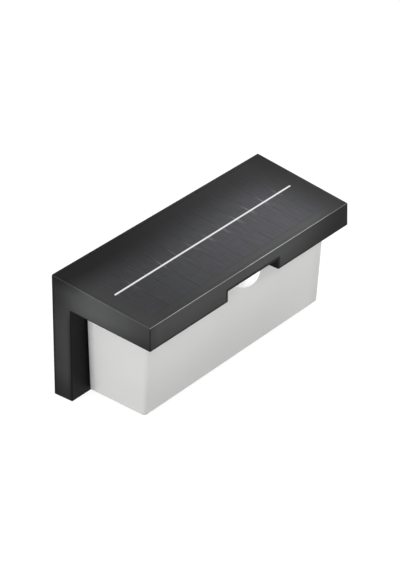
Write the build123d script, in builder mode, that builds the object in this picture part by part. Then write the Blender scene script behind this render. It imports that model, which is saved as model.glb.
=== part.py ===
from build123d import *
import os

os.makedirs("parts", exist_ok=True)

# Solar fence light with a motion sensor. Millimetres, +Z up, +X to the right seen from the front.
# The wall is the plane y = 0 and the front faces -Y. The origin is midway between the two
# keyholes in the back, where the light hangs on its screws.

# ---- housing: outside ----
LENGTH = 200.0            # along the front edge of the top
DEPTH = 80.0              # from the wall to the front face
HEIGHT = 90.0             # from the leg's foot to the back edge of the top
MOUNT_HEIGHT = 60.0       # keyhole centres above the leg's foot
TOP_DROP = 9.0            # the top falls this much from back to front, so rain runs off
LIP_HEIGHT = 17.5         # front face
UNDERSIDE_RISE = 4.8      # the underside rises from the lip to the leg
END_FLARE = 3.2           # each end leans out from the front to the wall
END_DRAFT = 3.0           # and from the top down to the foot
EDGE_R = 0.9              # rounding of the outer edges

# ---- housing: walls ----
WALL = 2.6
LEG_WALL = 1.8            # front wall of the leg
CEILING_T = 2.0           # plate over the diffuser
RECESS_WALL = 2.0         # wall round the diffuser's rim and the notch
LEDGE_T = 2.0             # shelf that carries the solar panel
NOTCH_WIDTH = 51.6
NOTCH_HEIGHT = 8.5
NOTCH_CORNER_R = 1.2

# ---- fits ----
FIT_GAP = 0.3             # running and assembly clearance
THREAD_GAP = 0.05         # screw in its pilot hole
SHANK_GAP = 0.25          # screw through a clearance hole

# ---- solar panel ----
PANEL_RIM = 2.2           # housing rim left round the panel
PANEL_COVER_T = 1.2
PANEL_BOARD_T = 1.3
PANEL_SEAL_T = 0.5
PANEL_FIT = 0.1
SHELF_WIDTH = 5.5
CELL_COUNT = 12
CELLS_END_INSET = 11.0    # row of cells in from the ends of the top's front edge
CELLS_MARGIN = 7.75       # and in from the top's front and back edges
SOLAR_CELL_GAP = 0.45
SOLAR_CELL_T = 0.3
BUSBAR_WIDTH = 1.8
BUSBAR_T = 0.12

# ---- battery: AAA cells in a tray inside the leg ----
BATTERY_COUNT = 3
BATTERY_D = 10.0
BATTERY_LENGTH = 43.2
BATTERY_TIP_D = 3.6
BATTERY_TIP_LENGTH = 1.2
TRAY_FLOOR = 0.9
TRAY_WALL = 1.2
TRAY_FOOT_GAP = 1.0
CONTACT_T = 0.4
CONTACT_SPRING_D = 5.0
CONTACT_SPRING_LENGTH = 2.0

# ---- back cover ----
COVER_T = 2.0
COVER_LIP = 1.1           # housing wall left outside the cover
GASKET_T = 0.8
GASKET_WIDTH = 1.1
KEYHOLE_SPACING = 120.0
KEYHOLE_R = 4.5
KEYHOLE_SLOT_R = 2.3
KEYHOLE_RISE = 8.5
KEYHOLE_POCKET_DEPTH = 6.0
KEYHOLE_POCKET_WALL = 1.3
KEYHOLE_POCKET_MARGIN = 1.0

# ---- diffuser ----
DIFFUSER_END_INSET = 10.0    # each end in from the end of the top's front edge
DIFFUSER_SETBACK = 11.4      # front of its rim behind the housing's front face
DIFFUSER_LEAN = 4.6          # front of its floor behind the front of its rim
DIFFUSER_LIFT = 2.2          # its floor above the leg's foot
DIFFUSER_WALL = 1.8
DIFFUSER_FLOOR = 2.0
DIFFUSER_FRONT_R = 2.5
DIFFUSER_BACK_R = 2.5
DIFFUSER_FOOT_R = 1.2
DIFFUSER_GASKET_T = 1.0
DIFFUSER_BOSS_R = 3.2
DIFFUSER_BOSS_LENGTH = 14.0
DIFFUSER_BOSS_INSET = 8.0    # boss centres in from the rim's ends, front and back

# ---- light source ----
REFLECTOR_END_GAP = 15.0     # in from the diffuser's ends
REFLECTOR_FRONT_GAP = 4.2    # behind the pocket of the sensor's dome
REFLECTOR_BACK_GAP = 4.7     # in front of the diffuser's back
REFLECTOR_T = 1.0
REFLECTOR_RIM = 5.0
LED_BOARD_INSET = 4.0        # in from the reflector's ends
LED_BOARD_WIDTH = 16.0
LED_BOARD_T = 1.6
LED_COUNT = 12
LED_END_INSET = 5.0          # first and last LED in from the board's ends
LED_WIDTH = 3.5
LED_DEPTH = 2.8
LED_T = 0.8
LED_SCREW_STEP = 5           # outer screws this many LED pitches from the middle

# ---- boards ----
BOARD_LIFT = 2.4          # board underside above the ceiling plate
BOARD_T = 1.6
BOARD_WIDTH = 30.0
BOARD_LEAD_SPACE = 16.0   # between the sensor board and the control board
BOARD_SHIFT = 1.0         # board centre in front of the mode button
BOARD_END_GAP = 0.6       # right end of the board to the housing's inside
BOARD_SCREW_INSET = 3.5
BOARD_BOSS_R = 2.4
SOCKET_LENGTH = 6.0
SOCKET_DEPTH = 5.0
SOCKET_HEIGHT = 2.4
BATTERY_SOCKET_INSET = 12.0   # from the board's left edge
SOLAR_SOCKET_INSET = 18.0     # from the board's right edge
SENSOR_BOARD_LENGTH = 26.0
SENSOR_BOARD_WIDTH = 17.0
SENSOR_BOARD_T = 1.2
# parts on top of the control board: x from its left edge, y from its back edge, length, width, height
BOARD_PARTS = [
    (24.0, 15.0, 5.0, 6.0, 1.5),     # controller
    (36.0, 15.0, 4.0, 3.0, 1.2),     # battery charger
    (36.0, 8.0, 6.0, 6.0, 3.0),      # choke
    (24.0, 24.0, 3.0, 1.6, 0.9),     # resistors
    (30.0, 24.0, 3.0, 1.6, 0.9),
    (36.0, 24.0, 3.0, 1.6, 0.9),
    (48.0, 18.0, 3.2, 2.6, 1.2),     # LED driver
]

# ---- sensor ----
DOME_R = 11.5
DOME_T = 1.0
DOME_SKIRT = 2.0
DOME_SETBACK = 11.7       # centre behind the housing's front face
DOME_X = 2.6              # centre to the right of the notch's middle
DOME_POCKET_WALL = 1.8
SPIGOT_R = 7.8
SPIGOT_T = 1.1
SPIGOT_BEAD = 0.4
DOME_RING_WIDTH = 1.0
DOME_RING_T = 0.9
SENSOR_CAN_R = 4.6
SENSOR_CAN_LENGTH = 4.4
SENSOR_RIM_R = 5.0
SENSOR_RIM_T = 0.5

# ---- mode button ----
BUTTON_R = 2.4
BUTTON_PROUD = 1.6
BUTTON_TRAVEL = 0.9
BUTTON_FLANGE_R = 3.3
BUTTON_FLANGE_T = 1.2
BUTTON_SEAT_R = 4.6
BUTTON_SEAT_T = 3.6
BUTTON_SEAL_T = 0.6
SWITCH_SIZE = 5.2
SWITCH_HEIGHT = 3.4
PLUNGER_R = 1.6
PLUNGER_PROUD = 1.4

# ---- screws and wires ----
COVER_SCREW_R = 1.45
COVER_SCREW_HEAD_R = 2.8
COVER_SCREW_LENGTH = 9.0
COVER_BOSS_R = 3.3
BOSS_BITE = 0.8           # a high boss runs this far into the end wall
SMALL_SCREW_R = 1.0
SMALL_SCREW_HEAD_R = 1.9
SMALL_SCREW_HEAD_T = 1.2
DIFFUSER_SCREW_R = 1.45
DIFFUSER_SCREW_HEAD_R = 2.6
DIFFUSER_SCREW_HEAD_T = 1.6
DIFFUSER_SCREW_LENGTH = 12.0
DRIVE_SLOT = 0.7
WIRE_R = 0.5
WIRE_BEND_R = 3.0
WIRE_PITCH = 2.5

# ---- heights and depths that follow ----
FOOT_Z = -MOUNT_HEIGHT
TOP_Z = FOOT_Z + HEIGHT
TOP_FRONT_Z = TOP_Z - TOP_DROP
LIP_Z = TOP_FRONT_Z - LIP_HEIGHT
UNDERSIDE_BACK_Z = LIP_Z + UNDERSIDE_RISE
LEG_DEPTH = COVER_T + FIT_GAP + BATTERY_D + TRAY_FLOOR + LEG_WALL
LEG_INSIDE_Y = -LEG_DEPTH + LEG_WALL
CEILING_Z = LIP_Z + NOTCH_HEIGHT
CEILING_TOP_Z = CEILING_Z + CEILING_T
PANEL_T = PANEL_COVER_T + PANEL_BOARD_T + PANEL_SEAL_T
BOARD_Z = CEILING_TOP_Z + BOARD_LIFT
BOARD_TOP_Z = BOARD_Z + BOARD_T
DIFFUSER_BACK_Y = -LEG_DEPTH - FIT_GAP
DIFFUSER_Z = FOOT_Z + DIFFUSER_LIFT
RIM_TOP_Z = CEILING_Z - DIFFUSER_GASKET_T
DOME_Z = CEILING_Z - DOME_SKIRT
TOP_LENGTH = (TOP_DROP**2 + DEPTH**2) ** 0.5

# ---- sizes of the inner pieces that follow the housing's ----
CELLS_LENGTH = LENGTH - 2 * CELLS_END_INSET
SOLAR_CELL_WIDTH = (CELLS_LENGTH + SOLAR_CELL_GAP) / CELL_COUNT - SOLAR_CELL_GAP
SOLAR_CELL_DEPTH = TOP_LENGTH - 2 * CELLS_MARGIN
DIFFUSER_LENGTH = LENGTH - 2 * DIFFUSER_END_INSET
DIFFUSER_RIM_DEPTH = DEPTH - DIFFUSER_SETBACK
DIFFUSER_FOOT_DEPTH = DIFFUSER_RIM_DEPTH - DIFFUSER_LEAN
DOME_Y = -DEPTH + DOME_SETBACK
POCKET_R = DOME_R + FIT_GAP + DOME_POCKET_WALL
REFLECTOR_FRONT_Y = DOME_Y + POCKET_R + REFLECTOR_FRONT_GAP
REFLECTOR_BACK_Y = DIFFUSER_BACK_Y - REFLECTOR_BACK_GAP
REFLECTOR_Y = (REFLECTOR_FRONT_Y + REFLECTOR_BACK_Y) / 2
REFLECTOR_WIDTH = REFLECTOR_BACK_Y - REFLECTOR_FRONT_Y
REFLECTOR_LENGTH = DIFFUSER_LENGTH - 2 * REFLECTOR_END_GAP
LED_BOARD_LENGTH = REFLECTOR_LENGTH - 2 * LED_BOARD_INSET
LED_PITCH = (LED_BOARD_LENGTH - 2 * LED_END_INSET) / (LED_COUNT - 1)
LED_SCREW_PITCH = LED_SCREW_STEP * LED_PITCH
BUTTON_Y = -DEPTH / 2
BOARD_Y = BUTTON_Y - BOARD_SHIFT

# The plane of the top face: its local y runs up the slope to the wall.
TOP_PLANE = Plane(
    origin=(0, -DEPTH / 2, (TOP_Z + TOP_FRONT_Z) / 2),
    x_dir=(1, 0, 0),
    z_dir=(0, -TOP_DROP, DEPTH),
)


def half_length(y, z):
    """Outer half-length of the housing at a depth and a height."""
    return LENGTH / 2 + END_FLARE * (DEPTH + y) / DEPTH + END_DRAFT * (TOP_Z - z) / HEIGHT


def end_plane(side, inset=0.0):
    """Plane of the left (-1) or right (1) end face, moved inwards by inset."""
    outward = Vector(side, -END_FLARE / DEPTH, END_DRAFT / HEIGHT).normalized()
    corner = Vector(side * (LENGTH / 2 + END_FLARE), 0, TOP_Z)
    return Plane(origin=corner - outward * inset, z_dir=outward)


def top_z(y, depth=0.0):
    """Height of the sloping top at y, or of a plane parallel to it, depth below."""
    return TOP_Z + y * TOP_DROP / DEPTH - depth * TOP_LENGTH / DEPTH


def underside_z(y):
    """Height of the slab's sloping underside at y."""
    return LIP_Z + UNDERSIDE_RISE * (DEPTH + y) / (DEPTH - LEG_DEPTH)


def plan(sketch, half, front, back, front_r, back_r):
    """Rectangle in plan with large front corners and small back corners."""
    Polygon((-half, front), (half, front), (half, back), (-half, back))
    fillet(sketch.vertices().group_by(Axis.Y)[0], radius=front_r)
    fillet(sketch.vertices().group_by(Axis.Y)[-1], radius=back_r)


def wire(points):
    """One round wire: straight runs joined by tangent bends."""
    with BuildPart() as lead:
        with BuildLine() as route:
            FilletPolyline(*points, radius=WIRE_BEND_R)
        with BuildSketch(Plane(origin=route.line @ 0, z_dir=route.line % 0)):
            Circle(WIRE_R)
        sweep(path=route.line)
    return lead.part


def panel_outline(inset):
    """Outline on the top plane that follows the top's edges, inset from them."""
    front_half = half_length(-DEPTH, TOP_FRONT_Z) - inset
    back_half = half_length(0, TOP_Z) - inset
    edge = TOP_LENGTH / 2 - inset
    return [(-front_half, -edge), (front_half, -edge), (back_half, edge), (-back_half, edge)]


def save(piece, name):
    """Label a finished piece and write it as its own file."""
    piece.part.label = name
    export_step(piece.part, f"parts/{name}.step")


# ================ housing ================

# Hollow of the slab and the leg: open to the wall and, through the shelf, to the panel.
hollow_profile = [
    (WALL, FOOT_Z + WALL),
    (LEG_INSIDE_Y, FOOT_Z + WALL),
    (LEG_INSIDE_Y, UNDERSIDE_BACK_Z + WALL),
    (-DEPTH + WALL, underside_z(-DEPTH + WALL) + WALL),
    (-DEPTH + WALL, top_z(-DEPTH + WALL, PANEL_T + LEDGE_T)),
    (WALL, top_z(WALL, PANEL_T + LEDGE_T)),
]
rim_half = DIFFUSER_LENGTH / 2
recess_half = rim_half + FIT_GAP
recess_front = -DIFFUSER_RIM_DEPTH - FIT_GAP
block_half = recess_half + RECESS_WALL
block_front = recess_front - RECESS_WALL
notch_length = DEPTH + recess_front + RECESS_WALL

with BuildPart() as hollow:
    with BuildSketch(Plane.YZ):
        Polygon(*hollow_profile)
    extrude(amount=LENGTH, both=True)
    for side in (-1, 1):
        split(bisect_by=end_plane(side, WALL), keep=Keep.BOTTOM)
    # the walls round the diffuser's recess and the notch stay solid
    with BuildSketch(Plane.XY.offset(LIP_Z)) as block_plan:
        plan(block_plan, block_half, block_front, LEG_INSIDE_Y, DIFFUSER_FRONT_R + RECESS_WALL, RECESS_WALL)
    extrude(amount=CEILING_TOP_Z - LIP_Z, mode=Mode.SUBTRACT)
    with BuildSketch(Plane.XZ.offset(-block_front - RECESS_WALL)):
        with Locations((0, (LIP_Z + CEILING_TOP_Z) / 2)):
            Rectangle(NOTCH_WIDTH + 2 * RECESS_WALL, CEILING_TOP_Z - LIP_Z)
    extrude(amount=notch_length + RECESS_WALL, mode=Mode.SUBTRACT)

# Places of the screws, in the row frame.
cover_top_z = top_z(0, PANEL_T + LEDGE_T) + COVER_LIP
low_screw_z = FOOT_Z + WALL + COVER_BOSS_R + FIT_GAP
high_screw_z = CEILING_TOP_Z + COVER_BOSS_R / 2
tray_height = BATTERY_COUNT * BATTERY_D + (BATTERY_COUNT + 1) * TRAY_WALL
tray_bottom_z = FOOT_Z + WALL + TRAY_FOOT_GAP
tray_top_z = tray_bottom_z + tray_height
middle_screw_z = tray_top_z + COVER_BOSS_R + WALL
low_screw_x = half_length(0, FOOT_Z) - WALL - COVER_BOSS_R - END_DRAFT
high_screw_x = half_length(0, TOP_Z) - WALL - COVER_BOSS_R + BOSS_BITE
cover_screws = [
    (-low_screw_x, low_screw_z),
    (low_screw_x, low_screw_z),
    (-high_screw_x, high_screw_z),
    (high_screw_x, high_screw_z),
    (0, high_screw_z),
    (0, middle_screw_z),
]
boss_x = rim_half - DIFFUSER_BOSS_INSET
boss_back_y = DIFFUSER_BACK_Y - DIFFUSER_BOSS_INSET
boss_front_y = -DIFFUSER_RIM_DEPTH + DIFFUSER_BOSS_INSET
diffuser_screws_at = [(side * boss_x, y) for side in (-1, 1) for y in (boss_back_y, boss_front_y)]
led_screws_at = [(i * LED_SCREW_PITCH, REFLECTOR_Y) for i in (-1, 0, 1)]

board_left = DOME_X + SENSOR_BOARD_LENGTH / 2 + BOARD_LEAD_SPACE
board_right = half_length(BOARD_Y - BOARD_WIDTH / 2, TOP_Z) - WALL - BOARD_END_GAP
board_x = (board_left + board_right) / 2
board_back = BOARD_Y + BOARD_WIDTH / 2
# the right-hand screws stand at the end of the ceiling plate, beside the button's channel
board_screws_at = [
    (x, BOARD_Y + side * (BOARD_WIDTH / 2 - BOARD_SCREW_INSET))
    for x in (board_left + BOARD_SCREW_INSET, block_half - BOARD_BOSS_R)
    for side in (-1, 1)
]
sensor_board_back = DOME_Y + SPIGOT_R + DOME_RING_WIDTH + 2 * BOARD_BOSS_R
sensor_board_y = sensor_board_back - SENSOR_BOARD_WIDTH / 2
sensor_screws_at = [
    (DOME_X + side * (SENSOR_BOARD_LENGTH / 2 - BOARD_BOSS_R), sensor_board_back - BOARD_BOSS_R)
    for side in (-1, 1)
]
channel_x = (block_half + half_length(BUTTON_Y, CEILING_Z) - WALL) / 2
bezel_z = underside_z(BUTTON_Y - BUTTON_SEAT_R) - FIT_GAP
seat_z = bezel_z + BUTTON_SEAT_T
led_hole_x = board_left - WIRE_BEND_R - WIRE_PITCH
led_hole_r = WIRE_PITCH / 2 + WIRE_R + FIT_GAP

with BuildPart() as housing:
    with BuildSketch(Plane.YZ):
        Polygon(
            (0, FOOT_Z),
            (-LEG_DEPTH, FOOT_Z),
            (-LEG_DEPTH, UNDERSIDE_BACK_Z),
            (-DEPTH, LIP_Z),
            (-DEPTH, TOP_FRONT_Z),
            (0, TOP_Z),
        )
    extrude(amount=LENGTH, both=True)
    for side in (-1, 1):
        split(bisect_by=end_plane(side), keep=Keep.BOTTOM)
    # all outer edges are rounded, except those against the wall and the inner corner
    back_edges = housing.faces().sort_by(Axis.Y)[-1].edges()
    long_edges = housing.edges().filter_by(Axis.X)
    inner_corner = long_edges.sort_by_distance((0, -LEG_DEPTH, UNDERSIDE_BACK_Z))[0]
    fillet([e for e in housing.edges() if e not in back_edges and e != inner_corner], radius=EDGE_R)

    # notch in the middle of the lip, with the lip's corners rounded beside it
    with BuildSketch(Plane.XZ.offset(DEPTH)) as notch_shape:
        with Locations((0, LIP_Z)):
            Rectangle(NOTCH_WIDTH, 2 * NOTCH_HEIGHT)
        fillet(notch_shape.vertices(), radius=EDGE_R)
        with Locations((0, LIP_Z)):
            Rectangle(NOTCH_WIDTH + 2 * NOTCH_CORNER_R, 2 * NOTCH_CORNER_R)
        with Locations(*[(s * (NOTCH_WIDTH / 2 + NOTCH_CORNER_R), LIP_Z + NOTCH_CORNER_R) for s in (-1, 1)]):
            Circle(NOTCH_CORNER_R, mode=Mode.SUBTRACT)
    extrude(amount=-(DEPTH + recess_front), mode=Mode.SUBTRACT)

    # recess that takes the diffuser's rim
    with BuildSketch(Plane.XY.offset(FOOT_Z)) as recess_plan:
        plan(recess_plan, recess_half, recess_front, -LEG_DEPTH, DIFFUSER_FRONT_R, FIT_GAP)
    extrude(amount=CEILING_Z - FOOT_Z, mode=Mode.SUBTRACT)

    add(hollow.part, mode=Mode.SUBTRACT)

    # pocket and opening for the solar panel
    with BuildSketch(TOP_PLANE):
        Polygon(*panel_outline(PANEL_RIM))
    extrude(amount=-PANEL_T, mode=Mode.SUBTRACT)
    with BuildSketch(TOP_PLANE):
        Polygon(*panel_outline(PANEL_RIM + SHELF_WIDTH))
    extrude(amount=-(PANEL_T + LEDGE_T + FIT_GAP), mode=Mode.SUBTRACT)

    # rebate for the back cover
    with BuildSketch(Plane.XZ):
        Polygon(
            (-half_length(0, FOOT_Z) + COVER_LIP, FOOT_Z + COVER_LIP),
            (half_length(0, FOOT_Z) - COVER_LIP, FOOT_Z + COVER_LIP),
            (half_length(0, cover_top_z) - COVER_LIP, cover_top_z),
            (-half_length(0, cover_top_z) + COVER_LIP, cover_top_z),
        )
    extrude(amount=COVER_T + GASKET_T, mode=Mode.SUBTRACT)

    # bosses for the back cover's screws
    with BuildSketch(Plane.XZ.offset(COVER_T)):
        with Locations(*cover_screws):
            Circle(COVER_BOSS_R)
    extrude(amount=LEG_DEPTH - LEG_WALL / 2 - COVER_T)
    with BuildSketch(Plane.XZ.offset(COVER_T)):
        with Locations(*cover_screws):
            Circle(COVER_SCREW_R + THREAD_GAP)
    extrude(amount=COVER_SCREW_LENGTH - COVER_T + 2 * FIT_GAP, mode=Mode.SUBTRACT)

    # bosses for the control board and the sensor board, with pilot holes
    with BuildSketch(Plane.XY.offset(CEILING_TOP_Z - CEILING_T / 2)):
        with Locations(*board_screws_at, *sensor_screws_at):
            Circle(BOARD_BOSS_R)
    extrude(amount=BOARD_LIFT + CEILING_T / 2)
    with BuildSketch(Plane.XY.offset(BOARD_Z)):
        with Locations(*board_screws_at, *sensor_screws_at):
            Circle(SMALL_SCREW_R + THREAD_GAP)
    extrude(amount=-(BOARD_LIFT + CEILING_T / 2), mode=Mode.SUBTRACT)

    # bosses over the LED board, drilled from below
    with BuildSketch(Plane.XY.offset(CEILING_TOP_Z - CEILING_T / 2)):
        with Locations(*led_screws_at):
            Circle(BOARD_BOSS_R)
    extrude(amount=BOARD_LIFT + CEILING_T / 2 - FIT_GAP)
    with BuildSketch(Plane.XY.offset(CEILING_Z)):
        with Locations(*led_screws_at):
            Circle(SMALL_SCREW_R + THREAD_GAP)
    extrude(amount=CEILING_T + BOARD_LIFT / 2, mode=Mode.SUBTRACT)

    # ceiling holes: diffuser screws, the dome's spigot, the LED leads
    with BuildSketch(Plane.XY.offset(CEILING_Z)):
        with Locations(*diffuser_screws_at):
            Circle(DIFFUSER_SCREW_R + SHANK_GAP)
        with Locations((DOME_X, DOME_Y)):
            Circle(SPIGOT_R + FIT_GAP)
        with Locations((led_hole_x, REFLECTOR_Y)):
            Circle(led_hole_r)
    extrude(amount=CEILING_T, mode=Mode.SUBTRACT)

    # seat of the mode button: a level bezel below, a level seat inside
    with BuildSketch(Plane.XY.offset(bezel_z)):
        with Locations((channel_x, BUTTON_Y)):
            Circle(BUTTON_SEAT_R)
    extrude(amount=BUTTON_SEAT_T)
    with BuildSketch(Plane.XY.offset(bezel_z)):
        with Locations((channel_x, BUTTON_Y)):
            Circle(BUTTON_R + FIT_GAP)
    extrude(amount=BUTTON_SEAT_T, mode=Mode.SUBTRACT)
save(housing, "housing")

# ================ solar panel ================

panel_edge = panel_outline(PANEL_RIM + PANEL_FIT)
cell_pitch = SOLAR_CELL_WIDTH + SOLAR_CELL_GAP

# dark laminated sheet; a shallow pocket in its underside takes the cells and the busbar
with BuildPart() as panel_cover:
    with BuildSketch(TOP_PLANE):
        Polygon(*panel_edge)
    extrude(amount=-PANEL_COVER_T)
    with BuildSketch(TOP_PLANE.offset(-PANEL_COVER_T)):
        Rectangle(CELLS_LENGTH + 2 * PANEL_FIT, SOLAR_CELL_DEPTH + 2 * PANEL_FIT)
    extrude(amount=SOLAR_CELL_T + BUSBAR_T, mode=Mode.SUBTRACT)
save(panel_cover, "panel_cover")

with BuildPart() as solar_cells:
    with BuildSketch(TOP_PLANE.offset(-PANEL_COVER_T)):
        with GridLocations(cell_pitch, 0, CELL_COUNT, 1):
            Rectangle(SOLAR_CELL_WIDTH, SOLAR_CELL_DEPTH)
    extrude(amount=SOLAR_CELL_T)
save(solar_cells, "solar_cells")

with BuildPart() as busbar:
    with BuildSketch(TOP_PLANE.offset(-PANEL_COVER_T + SOLAR_CELL_T)):
        SlotOverall(CELLS_LENGTH, BUSBAR_WIDTH)
    extrude(amount=BUSBAR_T)
save(busbar, "busbar")

with BuildPart() as panel_board:
    with BuildSketch(TOP_PLANE.offset(-PANEL_COVER_T)):
        Polygon(*panel_edge)
    extrude(amount=-PANEL_BOARD_T)
save(panel_board, "panel_board")

with BuildPart() as panel_seal:
    with BuildSketch(TOP_PLANE.offset(-PANEL_T)):
        Polygon(*panel_edge)
        Polygon(*panel_outline(PANEL_RIM + SHELF_WIDTH), mode=Mode.SUBTRACT)
    extrude(amount=PANEL_SEAL_T)
save(panel_seal, "panel_seal")

# ================ diffuser ================

rim_front = -DIFFUSER_RIM_DEPTH
foot_front = -DIFFUSER_FOOT_DEPTH


def diffuser_body(inset, floor_z, rim_z):
    """Body of the diffuser, or its inside: it leans forward up to the lip, then rises straight."""
    front_r = DIFFUSER_FRONT_R - inset
    back_r = DIFFUSER_BACK_R - inset
    with BuildPart() as body:
        with BuildSketch(Plane.XY.offset(floor_z)) as foot:
            plan(foot, rim_half - inset, foot_front + inset, DIFFUSER_BACK_Y - inset, front_r, back_r)
        with BuildSketch(Plane.XY.offset(LIP_Z)) as lip:
            plan(lip, rim_half - inset, rim_front + inset, DIFFUSER_BACK_Y - inset, front_r, back_r)
        loft(ruled=True)
        with BuildSketch(Plane.XY.offset(LIP_Z)) as rim:
            plan(rim, rim_half - inset, rim_front + inset, DIFFUSER_BACK_Y - inset, front_r, back_r)
        extrude(amount=rim_z - LIP_Z)
    return body.part


def dome_space(radius, top):
    """Half ball under a round shaft, round the sensor's dome."""
    with BuildPart() as space:
        with Locations((DOME_X, DOME_Y, DOME_Z)):
            Sphere(radius)
        with BuildSketch(Plane.XY.offset(DOME_Z)):
            with Locations((DOME_X, DOME_Y)):
                Circle(radius)
        extrude(amount=CEILING_Z - DOME_Z)
        split(bisect_by=Plane.XY.offset(top), keep=Keep.BOTTOM)
    return space.part


outer_body = diffuser_body(0, DIFFUSER_Z, RIM_TOP_Z)
inner_body = diffuser_body(DIFFUSER_WALL, DIFFUSER_Z + DIFFUSER_FLOOR, RIM_TOP_Z)
dome_pocket = dome_space(POCKET_R, RIM_TOP_Z)
dome_clearance = dome_space(DOME_R + FIT_GAP, RIM_TOP_Z)

with BuildPart() as diffuser:
    add(outer_body)
    fillet(diffuser.faces().sort_by(Axis.Z)[0].edges(), radius=DIFFUSER_FOOT_R)
    add(inner_body, mode=Mode.SUBTRACT)
    # wall of the pocket that the sensor's dome hangs in
    add(dome_pocket & outer_body)
    add(dome_clearance, mode=Mode.SUBTRACT)
    # bosses for the screws that come down through the ceiling plate
    with BuildSketch(Plane.XY.offset(CEILING_Z)):
        with Locations(*diffuser_screws_at):
            Circle(DIFFUSER_BOSS_R)
    extrude(amount=-DIFFUSER_BOSS_LENGTH)
    with BuildSketch(Plane.XY.offset(CEILING_Z)):
        with Locations(*diffuser_screws_at):
            Circle(DIFFUSER_SCREW_R + THREAD_GAP)
    extrude(amount=-(DIFFUSER_SCREW_LENGTH - CEILING_T + FIT_GAP), mode=Mode.SUBTRACT)
    # ribs that tie the bosses to the end walls
    for side in (-1, 1):
        for y in (boss_back_y, boss_front_y):
            rib = Box(
                DIFFUSER_BOSS_INSET - DIFFUSER_BOSS_R, DIFFUSER_WALL, DIFFUSER_BOSS_LENGTH,
                align=(Align.MIN if side > 0 else Align.MAX, Align.CENTER, Align.MAX),
                mode=Mode.PRIVATE,
            )
            add(rib.moved(Location((side * (boss_x + DIFFUSER_BOSS_R - THREAD_GAP), y, RIM_TOP_Z))))
save(diffuser, "diffuser")

with BuildPart() as diffuser_gasket:
    with BuildSketch(Plane.XY.offset(RIM_TOP_Z)) as gasket_plan:
        plan(gasket_plan, rim_half, rim_front, DIFFUSER_BACK_Y, DIFFUSER_FRONT_R, DIFFUSER_BACK_R)
        offset(amount=-DIFFUSER_WALL, mode=Mode.SUBTRACT)
        with Locations(*diffuser_screws_at):
            Circle(DIFFUSER_BOSS_R + THREAD_GAP, mode=Mode.SUBTRACT)
        with Locations((DOME_X, DOME_Y)):
            Circle(DOME_R + FIT_GAP, mode=Mode.SUBTRACT)
    extrude(amount=DIFFUSER_GASKET_T)
save(diffuser_gasket, "diffuser_gasket")


def screws(plane, places, shank_r, shank_length, head_r, head_t):
    """Pan-head screws with a drive slot: heads above the plane, shanks below it."""
    with BuildPart() as group:
        with BuildSketch(plane):
            with Locations(*places):
                Circle(shank_r)
        extrude(amount=-shank_length)
        with BuildSketch(plane):
            with Locations(*places):
                Circle(head_r)
        extrude(amount=head_t)
        with BuildSketch(plane.offset(head_t)):
            with Locations(*places):
                Rectangle(2 * head_r, DRIVE_SLOT)
        extrude(amount=-head_t / 2, mode=Mode.SUBTRACT)
    return group


diffuser_screws = screws(
    Plane.XY.offset(CEILING_TOP_Z),
    diffuser_screws_at,
    DIFFUSER_SCREW_R,
    DIFFUSER_SCREW_LENGTH,
    DIFFUSER_SCREW_HEAD_R,
    DIFFUSER_SCREW_HEAD_T,
)
save(diffuser_screws, "diffuser_screws")

# ================ light source ================

with BuildPart() as reflector:
    with BuildSketch(Plane.XY.offset(CEILING_Z)):
        with Locations((0, REFLECTOR_Y)):
            Rectangle(REFLECTOR_LENGTH, REFLECTOR_WIDTH)
    extrude(amount=-REFLECTOR_RIM)
    with BuildSketch(Plane.XY.offset(CEILING_Z - REFLECTOR_T)):
        with Locations((0, REFLECTOR_Y)):
            Rectangle(REFLECTOR_LENGTH - 2 * REFLECTOR_T, REFLECTOR_WIDTH - 2 * REFLECTOR_T)
    extrude(amount=-REFLECTOR_RIM, mode=Mode.SUBTRACT)
    with BuildSketch(Plane.XY.offset(CEILING_Z)):
        with Locations(*led_screws_at):
            Circle(SMALL_SCREW_R + SHANK_GAP)
        with Locations((led_hole_x, REFLECTOR_Y)):
            Circle(led_hole_r)
    extrude(amount=-REFLECTOR_T, mode=Mode.SUBTRACT)
save(reflector, "reflector")

led_board_top = CEILING_Z - REFLECTOR_T
with BuildPart() as led_board:
    with BuildSketch(Plane.XY.offset(led_board_top)):
        with Locations((0, REFLECTOR_Y)):
            Rectangle(LED_BOARD_LENGTH, LED_BOARD_WIDTH)
        with Locations(*led_screws_at):
            Circle(SMALL_SCREW_R + SHANK_GAP, mode=Mode.SUBTRACT)
    extrude(amount=-LED_BOARD_T)
save(led_board, "led_board")

led_board_face = led_board_top - LED_BOARD_T
with BuildPart() as leds:
    with BuildSketch(Plane.XY.offset(led_board_face)):
        with Locations((0, REFLECTOR_Y)):
            with GridLocations(LED_PITCH, 0, LED_COUNT, 1):
                Rectangle(LED_WIDTH, LED_DEPTH)
    extrude(amount=-LED_T)
save(leds, "leds")

# seen from below, so the plane faces down
led_screws = screws(
    Plane(origin=(0, 0, led_board_face), x_dir=(1, 0, 0), z_dir=(0, 0, -1)),
    [(x, -y) for x, y in led_screws_at],
    SMALL_SCREW_R,
    LED_BOARD_T + REFLECTOR_T + CEILING_T,
    SMALL_SCREW_HEAD_R,
    SMALL_SCREW_HEAD_T,
)
save(led_screws, "led_screws")

# ================ motion sensor ================

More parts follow.
